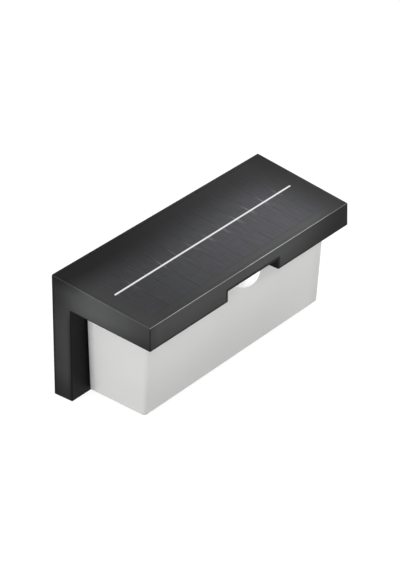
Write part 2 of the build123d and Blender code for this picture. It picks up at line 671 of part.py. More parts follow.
# Half ball with a short skirt against the ceiling and a spigot up through it.
spigot_in_r = SPIGOT_R - SPIGOT_T
spigot_top_z = CEILING_TOP_Z + DOME_RING_T + SPIGOT_BEAD * 2
with BuildPart() as sensor_dome:
    with BuildSketch(Plane(origin=(DOME_X, DOME_Y, 0), x_dir=(1, 0, 0), z_dir=(0, -1, 0))):
        with BuildLine():
            Polyline(
                (0, DOME_Z - DOME_R + DOME_T),
                (0, DOME_Z - DOME_R),
            )
            RadiusArc((0, DOME_Z - DOME_R), (DOME_R, DOME_Z), -DOME_R)
            Polyline(
                (DOME_R, DOME_Z),
                (DOME_R, CEILING_Z),
                (SPIGOT_R, CEILING_Z),
                (SPIGOT_R, CEILING_TOP_Z + DOME_RING_T),
                (SPIGOT_R + SPIGOT_BEAD / 2, CEILING_TOP_Z + DOME_RING_T + SPIGOT_BEAD),
                (SPIGOT_R, spigot_top_z),
                (spigot_in_r, spigot_top_z),
                (spigot_in_r, DOME_Z),
                (DOME_R - DOME_T, DOME_Z),
            )
            RadiusArc((0, DOME_Z - DOME_R + DOME_T), (DOME_R - DOME_T, DOME_Z), -(DOME_R - DOME_T))
        make_face()
    revolve(axis=Axis((DOME_X, DOME_Y, 0), (0, 0, 1)))
save(sensor_dome, "sensor_dome")

with BuildPart() as dome_ring:
    with BuildSketch(Plane.XY.offset(CEILING_TOP_Z)):
        with Locations((DOME_X, DOME_Y)):
            Circle(SPIGOT_R + DOME_RING_WIDTH)
            Circle(SPIGOT_R + THREAD_GAP, mode=Mode.SUBTRACT)
    extrude(amount=DOME_RING_T)
save(dome_ring, "dome_ring")

with BuildPart() as sensor_board:
    with BuildSketch(Plane.XY.offset(BOARD_Z)):
        with Locations((DOME_X, sensor_board_y)):
            Rectangle(SENSOR_BOARD_LENGTH, SENSOR_BOARD_WIDTH)
        with Locations(*sensor_screws_at):
            Circle(SMALL_SCREW_R + SHANK_GAP, mode=Mode.SUBTRACT)
    extrude(amount=SENSOR_BOARD_T)
save(sensor_board, "sensor_board")

# metal can that hangs from its board into the dome
with BuildPart() as sensor_can:
    with BuildSketch(Plane.XY.offset(BOARD_Z)):
        with Locations((DOME_X, DOME_Y)):
            Circle(SENSOR_RIM_R)
    extrude(amount=-SENSOR_RIM_T)
    with BuildSketch(Plane.XY.offset(BOARD_Z - SENSOR_RIM_T)):
        with Locations((DOME_X, DOME_Y)):
            Circle(SENSOR_CAN_R)
    extrude(amount=-SENSOR_CAN_LENGTH)
    fillet(sensor_can.faces().sort_by(Axis.Z)[0].edges(), radius=EDGE_R / 2)
save(sensor_can, "sensor_can")

# ================ control board ================

with BuildPart() as control_board:
    with BuildSketch(Plane.XY.offset(BOARD_Z)) as board_plan:
        with Locations((board_x, BOARD_Y)):
            Rectangle(board_right - board_left, BOARD_WIDTH)
        fillet(board_plan.vertices(), radius=EDGE_R)
        with Locations(*board_screws_at):
            Circle(SMALL_SCREW_R + SHANK_GAP, mode=Mode.SUBTRACT)
    extrude(amount=BOARD_T)
save(control_board, "control_board")

board_screws = screws(
    Plane.XY.offset(BOARD_TOP_Z),
    board_screws_at,
    SMALL_SCREW_R,
    BOARD_T + BOARD_LIFT,
    SMALL_SCREW_HEAD_R,
    SMALL_SCREW_HEAD_T,
)
save(board_screws, "board_screws")

sensor_screws = screws(
    Plane.XY.offset(BOARD_Z + SENSOR_BOARD_T),
    sensor_screws_at,
    SMALL_SCREW_R,
    SENSOR_BOARD_T + BOARD_LIFT,
    SMALL_SCREW_HEAD_R,
    SMALL_SCREW_HEAD_T,
)
save(sensor_screws, "sensor_screws")

with BuildPart() as board_components:
    for x, y, length, width, height in BOARD_PARTS:
        with BuildSketch(Plane.XY.offset(BOARD_TOP_Z)):
            with Locations((board_left + x, board_back - y)):
                Rectangle(length, width)
        extrude(amount=height)
save(board_components, "board_components")

# Sockets that take the leads: solar and battery at the back edge, LEDs and sensor at the left.
battery_socket_x = board_left + BATTERY_SOCKET_INSET
solar_socket_x = board_right - SOLAR_SOCKET_INSET
sensor_lead_y = REFLECTOR_Y - SOCKET_LENGTH - SOCKET_DEPTH
socket_wire_z = BOARD_TOP_Z + SOCKET_HEIGHT / 2
with BuildPart() as sockets:
    with BuildSketch(Plane.XY.offset(BOARD_TOP_Z)):
        with Locations(
            (battery_socket_x, board_back - SOCKET_DEPTH / 2),
            (solar_socket_x, board_back - SOCKET_DEPTH / 2),
        ):
            Rectangle(SOCKET_LENGTH, SOCKET_DEPTH)
        with Locations(
            (board_left + SOCKET_DEPTH / 2, REFLECTOR_Y),
            (board_left + SOCKET_DEPTH / 2, sensor_lead_y),
        ):
            Rectangle(SOCKET_DEPTH, SOCKET_LENGTH)
    extrude(amount=SOCKET_HEIGHT)
save(sockets, "sockets")

# ================ mode button ================

seal_top_z = seat_z + BUTTON_SEAL_T
flange_top_z = seal_top_z + BUTTON_FLANGE_T
switch_bottom_z = BOARD_Z - SWITCH_HEIGHT
plunger_bottom_z = switch_bottom_z - PLUNGER_PROUD

with BuildPart() as mode_button:
    with BuildSketch(Plane.XY.offset(bezel_z - BUTTON_PROUD)):
        with Locations((channel_x, BUTTON_Y)):
            Circle(BUTTON_R)
    extrude(amount=seal_top_z - bezel_z + BUTTON_PROUD)
    fillet(mode_button.faces().sort_by(Axis.Z)[0].edges(), radius=EDGE_R)
    with BuildSketch(Plane.XY.offset(seal_top_z)):
        with Locations((channel_x, BUTTON_Y)):
            Circle(BUTTON_FLANGE_R)
    extrude(amount=BUTTON_FLANGE_T)
    with BuildSketch(Plane.XY.offset(flange_top_z)):
        with Locations((channel_x, BUTTON_Y)):
            Circle(PLUNGER_R)
    extrude(amount=plunger_bottom_z - flange_top_z)
save(mode_button, "mode_button")

with BuildPart() as button_seal:
    with BuildSketch(Plane.XY.offset(seat_z)):
        with Locations((channel_x, BUTTON_Y)):
            Circle(BUTTON_FLANGE_R)
            Circle(BUTTON_R + FIT_GAP, mode=Mode.SUBTRACT)
    extrude(amount=BUTTON_SEAL_T)
save(button_seal, "button_seal")

# the switch hangs under the board, with a bore that its plunger runs in
plunger_top_z = BOARD_Z - BUTTON_TRAVEL - FIT_GAP
with BuildPart() as mode_switch:
    with BuildSketch(Plane.XY.offset(switch_bottom_z)):
        with Locations((channel_x, BUTTON_Y)):
            Rectangle(SWITCH_SIZE, SWITCH_SIZE)
            Circle(PLUNGER_R + FIT_GAP, mode=Mode.SUBTRACT)
    extrude(amount=SWITCH_HEIGHT)
save(mode_switch, "mode_switch")

with BuildPart() as switch_plunger:
    with BuildSketch(Plane.XY.offset(plunger_bottom_z)):
        with Locations((channel_x, BUTTON_Y)):
            Circle(PLUNGER_R)
    extrude(amount=plunger_top_z - plunger_bottom_z)
save(switch_plunger, "switch_plunger")

# ================ battery ================

tray_half = BATTERY_LENGTH / 2 + BATTERY_TIP_LENGTH + CONTACT_SPRING_LENGTH + CONTACT_T + TRAY_WALL
tray_back_y = -COVER_T - FIT_GAP
tray_front_y = LEG_INSIDE_Y
cell_pitch_z = BATTERY_D + TRAY_WALL
cell_heights = [tray_bottom_z + TRAY_WALL + BATTERY_D / 2 + i * cell_pitch_z for i in range(BATTERY_COUNT)]
battery_y = tray_back_y - BATTERY_D / 2

with BuildPart() as battery_tray:
    with BuildSketch(Plane.XZ.offset(-tray_back_y)):
        with Locations((0, (tray_bottom_z + tray_top_z) / 2)):
            Rectangle(2 * tray_half, tray_height)
    extrude(amount=tray_back_y - tray_front_y)
    with BuildSketch(Plane.XZ.offset(-tray_back_y)):
        with Locations(*[(0, z) for z in cell_heights]):
            Rectangle(2 * (tray_half - TRAY_WALL), BATTERY_D)
    extrude(amount=BATTERY_D, mode=Mode.SUBTRACT)
save(battery_tray, "battery_tray")

# neighbours lie head to tail, so their tips point to opposite ends
with BuildPart() as battery_cells:
    for i, z in enumerate(cell_heights):
        way = 1 if i % 2 == 0 else -1
        start = -way * (tray_half - TRAY_WALL - CONTACT_T - CONTACT_SPRING_LENGTH)
        with BuildSketch(Plane(origin=(start, battery_y, z), x_dir=(0, 1, 0), z_dir=(way, 0, 0))):
            Circle(BATTERY_D / 2 - THREAD_GAP)
        extrude(amount=BATTERY_LENGTH)
        with BuildSketch(Plane(origin=(start, battery_y, z), x_dir=(0, 1, 0), z_dir=(way, 0, 0))):
            Circle(BATTERY_TIP_D / 2)
        extrude(amount=BATTERY_LENGTH + BATTERY_TIP_LENGTH)
save(battery_cells, "battery_cells")

# a plate at each end of each cell, with a spring at its flat end
with BuildPart() as battery_contacts:
    for i, z in enumerate(cell_heights):
        way = 1 if i % 2 == 0 else -1
        for end in (-1, 1):
            wall_x = end * (tray_half - TRAY_WALL)
            with BuildSketch(Plane(origin=(wall_x, battery_y, z), x_dir=(0, 1, 0), z_dir=(-end, 0, 0))):
                Rectangle(BATTERY_D - 2 * CONTACT_T, BATTERY_D - 2 * CONTACT_T)
            extrude(amount=CONTACT_T)
            if end == -way:
                with BuildSketch(Plane(origin=(wall_x, battery_y, z), x_dir=(0, 1, 0), z_dir=(-end, 0, 0))):
                    Circle(CONTACT_SPRING_D / 2)
                    Circle(CONTACT_SPRING_D / 2 - 2 * CONTACT_T, mode=Mode.SUBTRACT)
                extrude(amount=CONTACT_T + CONTACT_SPRING_LENGTH)
save(battery_contacts, "battery_contacts")

# ================ back cover ================

cover_foot_z = FOOT_Z + COVER_LIP + PANEL_FIT
cover_head_z = cover_top_z - PANEL_FIT
cover_inset = COVER_LIP + PANEL_FIT
cover_outline = [
    (-half_length(0, cover_foot_z) + cover_inset, cover_foot_z),
    (half_length(0, cover_foot_z) - cover_inset, cover_foot_z),
    (half_length(0, cover_head_z) - cover_inset, cover_head_z),
    (-half_length(0, cover_head_z) + cover_inset, cover_head_z),
]
keyhole_places = [(side * KEYHOLE_SPACING / 2, 0) for side in (-1, 1)]
pocket_height = KEYHOLE_RISE + KEYHOLE_R + KEYHOLE_SLOT_R + 2 * KEYHOLE_POCKET_MARGIN
pocket_width = 2 * (KEYHOLE_R + KEYHOLE_POCKET_MARGIN)
pocket_z = (KEYHOLE_RISE + KEYHOLE_SLOT_R - KEYHOLE_R) / 2
pocket_places = [(x, pocket_z) for x, z in keyhole_places]

with BuildPart() as back_cover:
    with BuildSketch(Plane.XZ):
        Polygon(*cover_outline)
    extrude(amount=COVER_T)
    # closed pocket behind each keyhole, so no water gets in round the wall screws
    with BuildSketch(Plane.XZ):
        with Locations(*pocket_places):
            RectangleRounded(
                pocket_width + 2 * KEYHOLE_POCKET_WALL,
                pocket_height + 2 * KEYHOLE_POCKET_WALL,
                KEYHOLE_R / 2,
            )
    extrude(amount=COVER_T + KEYHOLE_POCKET_DEPTH + KEYHOLE_POCKET_WALL)
    with BuildSketch(Plane.XZ.offset(COVER_T)):
        with Locations(*pocket_places):
            RectangleRounded(pocket_width, pocket_height, KEYHOLE_R / 2)
    extrude(amount=KEYHOLE_POCKET_DEPTH, mode=Mode.SUBTRACT)
    with BuildSketch(Plane.XZ):
        with Locations(*keyhole_places):
            Circle(KEYHOLE_R)
        with Locations(*[(x, z + KEYHOLE_RISE / 2) for x, z in keyhole_places]):
            Rectangle(2 * KEYHOLE_SLOT_R, KEYHOLE_RISE)
        with Locations(*[(x, z + KEYHOLE_RISE) for x, z in keyhole_places]):
            Circle(KEYHOLE_SLOT_R)
    extrude(amount=COVER_T, mode=Mode.SUBTRACT)
    # countersunk screw holes
    with Locations(*[Plane(origin=(x, 0, z), x_dir=(1, 0, 0), z_dir=(0, 1, 0)) for x, z in cover_screws]):
        CounterSinkHole(COVER_SCREW_R + SHANK_GAP, COVER_SCREW_HEAD_R + THREAD_GAP, COVER_T)
save(back_cover, "back_cover")

with BuildPart() as back_gasket:
    with BuildSketch(Plane.XZ.offset(COVER_T)) as ring:
        Polygon(*cover_outline)
        offset(amount=-GASKET_WIDTH, mode=Mode.SUBTRACT)
        with Locations(*cover_screws):
            Circle(COVER_BOSS_R + THREAD_GAP, mode=Mode.SUBTRACT)
    extrude(amount=GASKET_T)
save(back_gasket, "back_gasket")

# countersunk heads, flush with the wall face
with BuildPart() as cover_screws_set:
    with BuildSketch(Plane.XZ):
        with Locations(*cover_screws):
            Circle(COVER_SCREW_R)
    extrude(amount=COVER_SCREW_LENGTH)
    head_drop = COVER_SCREW_HEAD_R - COVER_SCREW_R
    for x, z in cover_screws:
        with Locations(Location((x, -head_drop / 2, z), (-90, 0, 0))):
            Cone(COVER_SCREW_R, COVER_SCREW_HEAD_R, head_drop)
    with BuildSketch(Plane.XZ):
        with Locations(*cover_screws):
            Rectangle(2 * COVER_SCREW_R, DRIVE_SLOT)
            Rectangle(DRIVE_SLOT, 2 * COVER_SCREW_R)
    extrude(amount=head_drop / 2, mode=Mode.SUBTRACT)
save(cover_screws_set, "cover_screws")

# ================ leads ================

pair = (-WIRE_PITCH / 2, WIRE_PITCH / 2)
lead_z = cell_heights[-1]
battery_lead_parts = [
    wire([
        (tray_half, battery_y, lead_z - dx),
        (battery_socket_x + dx, battery_y, lead_z - dx),
        (battery_socket_x + dx, battery_y, socket_wire_z),
        (battery_socket_x + dx, board_back, socket_wire_z),
    ])
    for dx in pair
]
with BuildPart() as battery_leads:
    for lead in battery_lead_parts:
        add(lead)
save(battery_leads, "battery_leads")

solar_pad_y = (board_back + battery_y) / 2
solar_lead_parts = [
    wire([
        (solar_socket_x + dx, solar_pad_y, top_z(solar_pad_y, PANEL_COVER_T + PANEL_BOARD_T) - WIRE_R),
        (solar_socket_x + dx, solar_pad_y, socket_wire_z),
        (solar_socket_x + dx, board_back, socket_wire_z),
    ])
    for dx in pair
]
with BuildPart() as solar_leads:
    for lead in solar_lead_parts:
        add(lead)
save(solar_leads, "solar_leads")

led_lead_parts = [
    wire([
        (led_hole_x, REFLECTOR_Y + dy, led_board_top),
        (led_hole_x, REFLECTOR_Y + dy, socket_wire_z),
        (board_left, REFLECTOR_Y + dy, socket_wire_z),
    ])
    for dy in (-WIRE_PITCH / 2 + WIRE_R, WIRE_PITCH / 2 - WIRE_R)
]
with BuildPart() as led_leads:
    for lead in led_lead_parts:
        add(lead)
save(led_leads, "led_leads")

sensor_lead_x = board_left - BOARD_LEAD_SPACE / 2
sensor_lead_parts = [
    wire([
        (DOME_X + SENSOR_BOARD_LENGTH / 4, sensor_board_y + dy, socket_wire_z),
        (sensor_lead_x - dy, sensor_board_y + dy, socket_wire_z),
        (sensor_lead_x - dy, sensor_lead_y + dy, socket_wire_z),
        (board_left, sensor_lead_y + dy, socket_wire_z),
    ])
    for dy in (-WIRE_PITCH / 2 + WIRE_R, WIRE_PITCH / 2 - WIRE_R)
]
with BuildPart() as sensor_leads:
    for lead in sensor_lead_parts:
        add(lead)
save(sensor_leads, "sensor_leads")
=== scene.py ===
import bpy
import numpy as np
from mathutils import Matrix, Vector


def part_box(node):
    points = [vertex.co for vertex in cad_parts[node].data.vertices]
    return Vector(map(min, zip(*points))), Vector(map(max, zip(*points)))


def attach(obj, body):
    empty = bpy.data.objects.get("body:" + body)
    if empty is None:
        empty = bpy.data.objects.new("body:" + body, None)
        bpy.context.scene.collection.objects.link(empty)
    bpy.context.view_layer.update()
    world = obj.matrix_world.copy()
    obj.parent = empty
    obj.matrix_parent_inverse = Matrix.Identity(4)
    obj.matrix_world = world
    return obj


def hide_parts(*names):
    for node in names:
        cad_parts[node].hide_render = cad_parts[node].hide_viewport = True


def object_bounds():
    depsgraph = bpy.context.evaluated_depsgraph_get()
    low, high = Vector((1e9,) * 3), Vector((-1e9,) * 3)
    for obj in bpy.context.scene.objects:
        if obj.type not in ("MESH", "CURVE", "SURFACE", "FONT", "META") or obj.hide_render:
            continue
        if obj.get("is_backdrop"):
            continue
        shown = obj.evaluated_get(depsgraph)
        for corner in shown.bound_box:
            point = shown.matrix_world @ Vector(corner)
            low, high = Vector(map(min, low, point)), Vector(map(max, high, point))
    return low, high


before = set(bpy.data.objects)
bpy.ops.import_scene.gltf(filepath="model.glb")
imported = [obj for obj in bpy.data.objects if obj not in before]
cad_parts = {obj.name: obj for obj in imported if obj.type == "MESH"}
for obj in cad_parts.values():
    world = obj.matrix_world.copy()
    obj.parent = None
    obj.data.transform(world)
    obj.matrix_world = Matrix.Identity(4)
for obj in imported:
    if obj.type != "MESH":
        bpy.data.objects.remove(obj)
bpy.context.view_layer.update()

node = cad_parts

# ---- housing ----
# One black ABS moulding, hung on two wall screws: the roof over the lamp and the leg down the wall.
# Its skin comes from a finely sparked mould. Handling has worn some of its arrises, which are also
# painted pale as a highlight. Dust lies on the others, which are also painted dark as shade.
# Painted light and shade drift over its faces, and painted shade darkens its lower edges and the
# notch.
mm = 0.001
roof_length = 200 * mm
roof_depth = 80 * mm
roof_drop = 9 * mm  # from the wall to the front edge
roof_back = 30 * mm  # height at the wall
end_flare = 3.2 * mm  # each end stands this much further out at the wall
end_draft = 3 * mm  # and this much further out at the foot
light_height = 90 * mm
foot_z = -60 * mm
lip_z = 3.5 * mm  # lower edge of the lip
notch_z = 12 * mm  # upper edge of the notch in it
notch_half = 25.8 * mm
underside_rise = 4.8 * mm  # from the lip back to the leg
leg_depth = 15 * mm


def put(tree, kind, feed=None, **settings):
    """Add a shader node. feed maps a socket's name or number to a value, or to the socket that
    feeds it."""
    made = tree.nodes.new(kind)
    for name, value in settings.items():
        setattr(made, name, value)
    for socket, value in (feed or {}).items():
        if isinstance(value, bpy.types.NodeSocket):
            tree.links.new(value, made.inputs[socket])
        else:
            made.inputs[socket].default_value = value
    return made


def wire(tree, target, **sources):
    """Link a node's sockets, named with _ for each space, to what feeds them."""
    for socket, source in sources.items():
        tree.links.new(source, target.inputs[socket.replace("_", " ")])


def calc(tree, operation, *terms, clamp=False):
    """The result of one sum on values or sockets."""
    feed = dict(enumerate(terms))
    return put(tree, "ShaderNodeMath", feed, operation=operation, use_clamp=clamp).outputs[0]


def product(tree, first, *others):
    """All the factors multiplied together."""
    for other in others:
        first = calc(tree, "MULTIPLY", first, other)
    return first


def distance(tree, across, along):
    """How far off a point is that lies across and along at right angles."""
    squares = calc(tree, "ADD", product(tree, across, across), product(tree, along, along))
    return calc(tree, "SQRT", squares)


def ramp(tree, value, low, high, out_low=0.0, out_high=1.0):
    """value carried from low..high to out_low..out_high, smoothly, and held outside."""
    feed = {0: value, 1: low, 2: high, 3: out_low, 4: out_high}
    return put(tree, "ShaderNodeMapRange", feed, interpolation_type="SMOOTHSTEP").outputs[0]


def blend(tree, share, first, second):
    """first, with second over it by share, for plain numbers."""
    return put(tree, "ShaderNodeMix", {0: share, 2: first, 3: second}).outputs[0]


def toned(tree, colour, tone):
    """colour made darker by a tone under 1, or paler by one over 1."""
    feed = {0: colour, "Scale": tone}
    return put(tree, "ShaderNodeVectorMath", feed, operation="SCALE").outputs[0]


def split(tree, vector):
    """The x, y and z of a vector."""
    return put(tree, "ShaderNodeSeparateXYZ", {0: vector}).outputs[:3]


def place_on(tree):
    """Where a point lies on the light."""
    return put(tree, "ShaderNodeTexCoord").outputs["Object"]


def facing_on(tree):
    """The x, y and z of the way a face looks."""
    return split(tree, put(tree, "ShaderNodeTexCoord").outputs["Normal"])


def noise(tree, place, scale, detail=2.0, roughness=0.5):
    """Cloudy values about 0.5."""
    feed = {"Vector": place, "Scale": scale, "Detail": detail, "Roughness": roughness}
    return put(tree, "ShaderNodeTexNoise", feed).outputs[0]


def stretched(tree, place, scale, turn=(0.0, 0.0, 0.0)):
    """A place drawn out unevenly and then turned, for streaks."""
    feed = {"Vector": place, "Scale": scale, "Rotation": turn}
    return put(tree, "ShaderNodeMapping", feed).outputs[0]


def relief(tree, height, depth, strength=1.0, **under):
    """Normal of a skin that stands out by depth where height is 1."""
    feed = {"Strength": strength, "Distance": depth, "Height": height, **under}
    return put(tree, "ShaderNodeBump", feed).outputs[0]


def new_group(name, inputs, outputs):
    """An empty node group. inputs and outputs map a socket's name to Float, Color or Vector.
    Gives the tree, its input node and its output node."""
    tree = bpy.data.node_groups.new(name, "ShaderNodeTree")
    for way, sockets in (("INPUT", inputs), ("OUTPUT", outputs)):
        for label, kind in sockets.items():
            tree.interface.new_socket(label, in_out=way, socket_type="NodeSocket" + kind)
    return tree, tree.nodes.new("NodeGroupInput"), tree.nodes.new("NodeGroupOutput")


def finish_of(name, **plain):
    """A new material with one Principled shader. plain sets the sockets that are the same all
    over, named with _ for each space."""
    material = bpy.data.materials.new(name)
    material.use_nodes = True
    shader = material.node_tree.nodes["Principled BSDF"]
    for socket, value in plain.items():
        shader.inputs[socket.replace("_", " ")].default_value = value
    return material, material.node_tree, shader


def dress(piece, material):
    """Put a material in every slot of a CAD node."""
    for slot in piece.material_slots:
        slot.material = material


def grained_skin():
    """Skin of a moulding: a sparked grain, slow changes of tone, and rubs that shine a little. An
    arris is where the normal leans well away from all three axes. Hands reach those that face up
    and forward, and half as much those that face up and left, and wear them smooth. They are also
    painted many times paler as a highlight. The others stay dark with dust, and are painted near
    black as shade."""
    tree, given, out = new_group(
        "moulded skin",
        {"Colour": "Color", "Grain size": "Float", "Grain depth": "Float",
         "Roughness": "Float", "Rub": "Float", "Arris wear and light": "Float"},
        {"Colour": "Color", "Roughness": "Float", "Normal": "Vector"},
    )
    place = place_on(tree)
    grain = noise(tree, place, calc(tree, "DIVIDE", 1.0, given.outputs["Grain size"]), 2.0, 0.6)
    slow = noise(tree, place, 22.0, 3.0, 0.55)
    rubs = noise(tree, stretched(tree, place, (40.0, 260.0, 260.0), (0.4, 0.2, 0.7)), 1.0, 4.0, 0.7)
    rubs = ramp(tree, rubs, 0.56, 0.74)
    rub = product(tree, rubs, given.outputs["Rub"])

    x, y, upward = facing_on(tree)
    leftward, forward = product(tree, x, -1.0), product(tree, y, -1.0)
    straightest = calc(tree, "ABSOLUTE", upward)
    for way in (leftward, forward):
        straightest = calc(tree, "MAXIMUM", straightest, calc(tree, "ABSOLUTE", way))
    arris = product(tree, ramp(tree, straightest, 0.9, 0.78), given.outputs["Arris wear and light"])
    # Arrises that face forward or left are worn and carry a painted highlight; the rest carry dust
    # and painted shade.
    reached_or_lit = calc(tree, "MAXIMUM", ramp(tree, forward, 0.2, 0.5),
                   ramp(tree, leftward, 0.3, 0.6, 0.0, 0.5))
    worn_and_highlit = product(tree, arris, reached_or_lit, ramp(tree, upward, 0.2, 0.5))
    dusty_and_shaded = calc(tree, "SUBTRACT", arris, worn_and_highlit)

    tone = product(tree, ramp(tree, slow, 0.3, 0.7, 0.93, 1.07),
                   ramp(tree, grain, 0.35, 0.65, 0.94, 1.06))
    tone = calc(tree, "MULTIPLY_ADD", rub, 0.12, tone)
    # Painted highlight on the worn arrises, then painted shade on the dusty ones.
    tone = calc(tree, "MULTIPLY_ADD", worn_and_highlit, ramp(tree, slow, 0.3, 0.7, 4.0, 8.0), tone)
    tone = product(tree, tone, calc(tree, "MULTIPLY_ADD", dusty_and_shaded, -0.92, 1.0))
    rough = given.outputs["Roughness"]
    for share, change in ((slow, 0.06), (rub, -0.1), (worn_and_highlit, -0.25), (dusty_and_shaded, 0.4)):
        rough = calc(tree, "MULTIPLY_ADD", share, change, rough)
    wire(tree, out, Colour=toned(tree, given.outputs["Colour"], tone), Roughness=rough,
         Normal=relief(tree, grain, given.outputs["Grain depth"]))
    return tree


moulded_skin = grained_skin()


def moulding(name, colour, roughness, grain_size=0.4 * mm, grain_depth=0.02 * mm,
             rub=0.5, arris_wear_and_light=0.3, **plain):
    """A moulded plastic or rubber with the grained skin."""
    material, tree, shader = finish_of(name, **plain)
    feed = {"Colour": (*colour, 1.0), "Grain size": grain_size, "Grain depth": grain_depth,
            "Roughness": roughness, "Rub": rub, "Arris wear and light": arris_wear_and_light}
    skin = put(tree, "ShaderNodeGroup", feed, node_tree=moulded_skin).outputs
    wire(tree, shader, Base_Color=skin["Colour"], Roughness=skin["Roughness"],
         Normal=skin["Normal"])
    return material


def painted_edge_shade():
    """Painted shade along the lower edges: a dark line about 1.8 mm high over the lower edge of the
    lip and round the notch in it, and one about 1 mm high over the lower edge of the end faces. The
    notch's own sides are painted 0.4 times as dark all over, as shade in the recess."""
    tree, given, out = new_group("painted edge shade", {"Depth": "Float"}, {"Tone": "Float"})
    x, y, z = split(tree, place_on(tree))
    x = calc(tree, "ABSOLUTE", x)
    facing_x, facing_y, _ = facing_on(tree)

    # In the notch the corner beside it doesn't count, so it is put a metre away.
    in_notch = calc(tree, "LESS_THAN", x, notch_half)
    lower_edge = calc(tree, "MULTIPLY_ADD", in_notch, notch_z - lip_z, lip_z)
    over_edge = calc(tree, "SUBTRACT", z, lower_edge)
    beside_notch = calc(tree, "MAXIMUM", calc(tree, "SUBTRACT", x, notch_half), 0.0)
    above_notch = calc(tree, "MAXIMUM", calc(tree, "SUBTRACT", z, notch_z), 0.0)
    to_corner = distance(tree, calc(tree, "ADD", beside_notch, in_notch), above_notch)
    lip_line = ramp(tree, calc(tree, "MINIMUM", over_edge, to_corner), 2.4 * mm, 1.1 * mm)
    on_lip = product(tree, ramp(tree, product(tree, facing_y, -1.0), 0.5, 0.8),
                     calc(tree, "LESS_THAN", y, -0.9 * roof_depth))

    steepness = underside_rise / (roof_depth - leg_depth)
    underside = calc(tree, "MULTIPLY_ADD", y, steepness, lip_z + steepness * roof_depth)
    over_underside = calc(tree, "ABSOLUTE", calc(tree, "SUBTRACT", z, underside))
    end_line = product(tree, ramp(tree, over_underside, 1.5 * mm, 0.6 * mm),
                       calc(tree, "LESS_THAN", y, -leg_depth))
    notch_side = product(tree, calc(tree, "LESS_THAN", x, 2 * notch_half), 0.4)
    on_end = ramp(tree, calc(tree, "ABSOLUTE", facing_x), 0.5, 0.8)

    # Painted shade: the lines and the notch's sides darken the colour by Depth.
    edge_shade = calc(tree, "MAXIMUM", product(tree, on_lip, lip_line),
                product(tree, on_end, calc(tree, "MAXIMUM", end_line, notch_side)))
    edge_shade = product(tree, edge_shade, given.outputs["Depth"])
    wire(tree, out, Tone=calc(tree, "SUBTRACT", 1.0, edge_shade))
    return tree


def painted_light_and_shade():
    """Painted light and shade on the black plastic: its tone drifts over the light by the way a
    face looks. The roof is painted paler towards a place 50 mm right of the middle, and darker at
    the right end and the wall. The lip is painted darker downwards and to both ends. The end faces
    are painted palest at the middle of the slab and darker at the wall, the front and the foot. The
    leg's front is painted dark as the shade under the roof. A tone under 1 falls 0.4 times further,
    to make up for the haze of light on the skin."""
    tree, _, out = new_group("painted light and shade", {}, {"Tone": "Float"})
    x, y, z = split(tree, place_on(tree))
    facing_x, facing_y, upward = facing_on(tree)
    on_top = ramp(tree, upward, 0.6, 0.9)
    on_end = ramp(tree, calc(tree, "ABSOLUTE", facing_x), 0.6, 0.9)
    on_front = ramp(tree, product(tree, facing_y, -1.0), 0.6, 0.9)
    on_leg = product(tree, on_front, ramp(tree, y, -0.4 * roof_depth, -0.3 * roof_depth))
    on_lip = calc(tree, "SUBTRACT", on_front, on_leg)

    wall_reach = ramp(tree, x, -90 * mm, -30 * mm, -34 * mm, -48 * mm)
    wall_tone = ramp(tree, x, 62 * mm, 95 * mm, 0.32, 0.74)
    top = product(
        tree,
        ramp(tree, x, -90 * mm, 50 * mm, 0.8, 1.5),
        ramp(tree, x, 54 * mm, 99 * mm, 1.0, 0.27),
        ramp(tree, x, -102 * mm, -82 * mm, 1.15, 1.0),
        ramp(tree, y, -7 * mm, wall_reach, wall_tone, 1.0),
    )
    left_end = -roof_length / 2
    lip = product(
        tree,
        ramp(tree, x, 25 * mm, 95 * mm, 1.0, 0.3),
        ramp(tree, z, 4 * mm, 19 * mm, 0.84, 1.1),
        ramp(tree, x, left_end, left_end + 9 * mm, 0.75, 1.0),
    )
    leg = ramp(tree, z, -20 * mm, 5 * mm, 0.35, 0.45)

    front_dark = product(tree, ramp(tree, y, -40 * mm, -84 * mm),
                         ramp(tree, z, 2 * mm, 20 * mm, 0.68, 0.48))
    back_top = product(tree, ramp(tree, z, 19 * mm, 31 * mm), ramp(tree, y, -34 * mm, -16 * mm))
    slab_end = product(
        tree,
        ramp(tree, y, 0.0, -36 * mm, 0.44, 1.53),
        calc(tree, "SUBTRACT", 1.0, front_dark),
        calc(tree, "MULTIPLY_ADD", back_top, -0.5, 1.0),
    )
    leg_end = product(
        tree,
        ramp(tree, y, 0.0, -10 * mm, 0.58, 0.75),
        ramp(tree, z, -35 * mm, -58 * mm, 1.0, 0.55),
        ramp(tree, y, -11.5 * mm, -leg_depth, 1.0, 0.5),
    )
    end = blend(tree, ramp(tree, z, -5 * mm, 15 * mm), leg_end, slab_end)
    end = product(tree, end, ramp(tree, y, 0.0, -2.5 * mm, 0.4, 1.0))

    tone = 1.0
    for share, goal in ((on_top, top), (on_lip, lip), (on_leg, leg), (on_end, end)):
        tone = blend(tree, share, tone, goal)
    lack = calc(tree, "SUBTRACT", 1.0, tone, clamp=True)
    tone = calc(tree, "MAXIMUM", calc(tree, "MULTIPLY_ADD", lack, -0.4, tone), 0.03)
    wire(tree, out, Tone=tone)
    return tree


painted_tones = painted_light_and_shade()


def shaded(material, edge_shade_depth):
    """Lay the painted light and shade, and the painted shade along the lower edges, over the colour
    that a moulding's skin gives.
    """
    tree = material.node_tree
    shader = tree.nodes["Principled BSDF"]
    skin_colour = shader.inputs["Base Color"].links[0].from_socket
    painted_tone = put(tree, "ShaderNodeGroup", node_tree=painted_tones).outputs[0]
    edge_shade = put(tree, "ShaderNodeGroup", {"Depth": edge_shade_depth}, node_tree=painted_edge_shade()).outputs[0]
    wire(tree, shader, Base_Color=toned(tree, skin_colour, product(tree, painted_tone, edge_shade)))


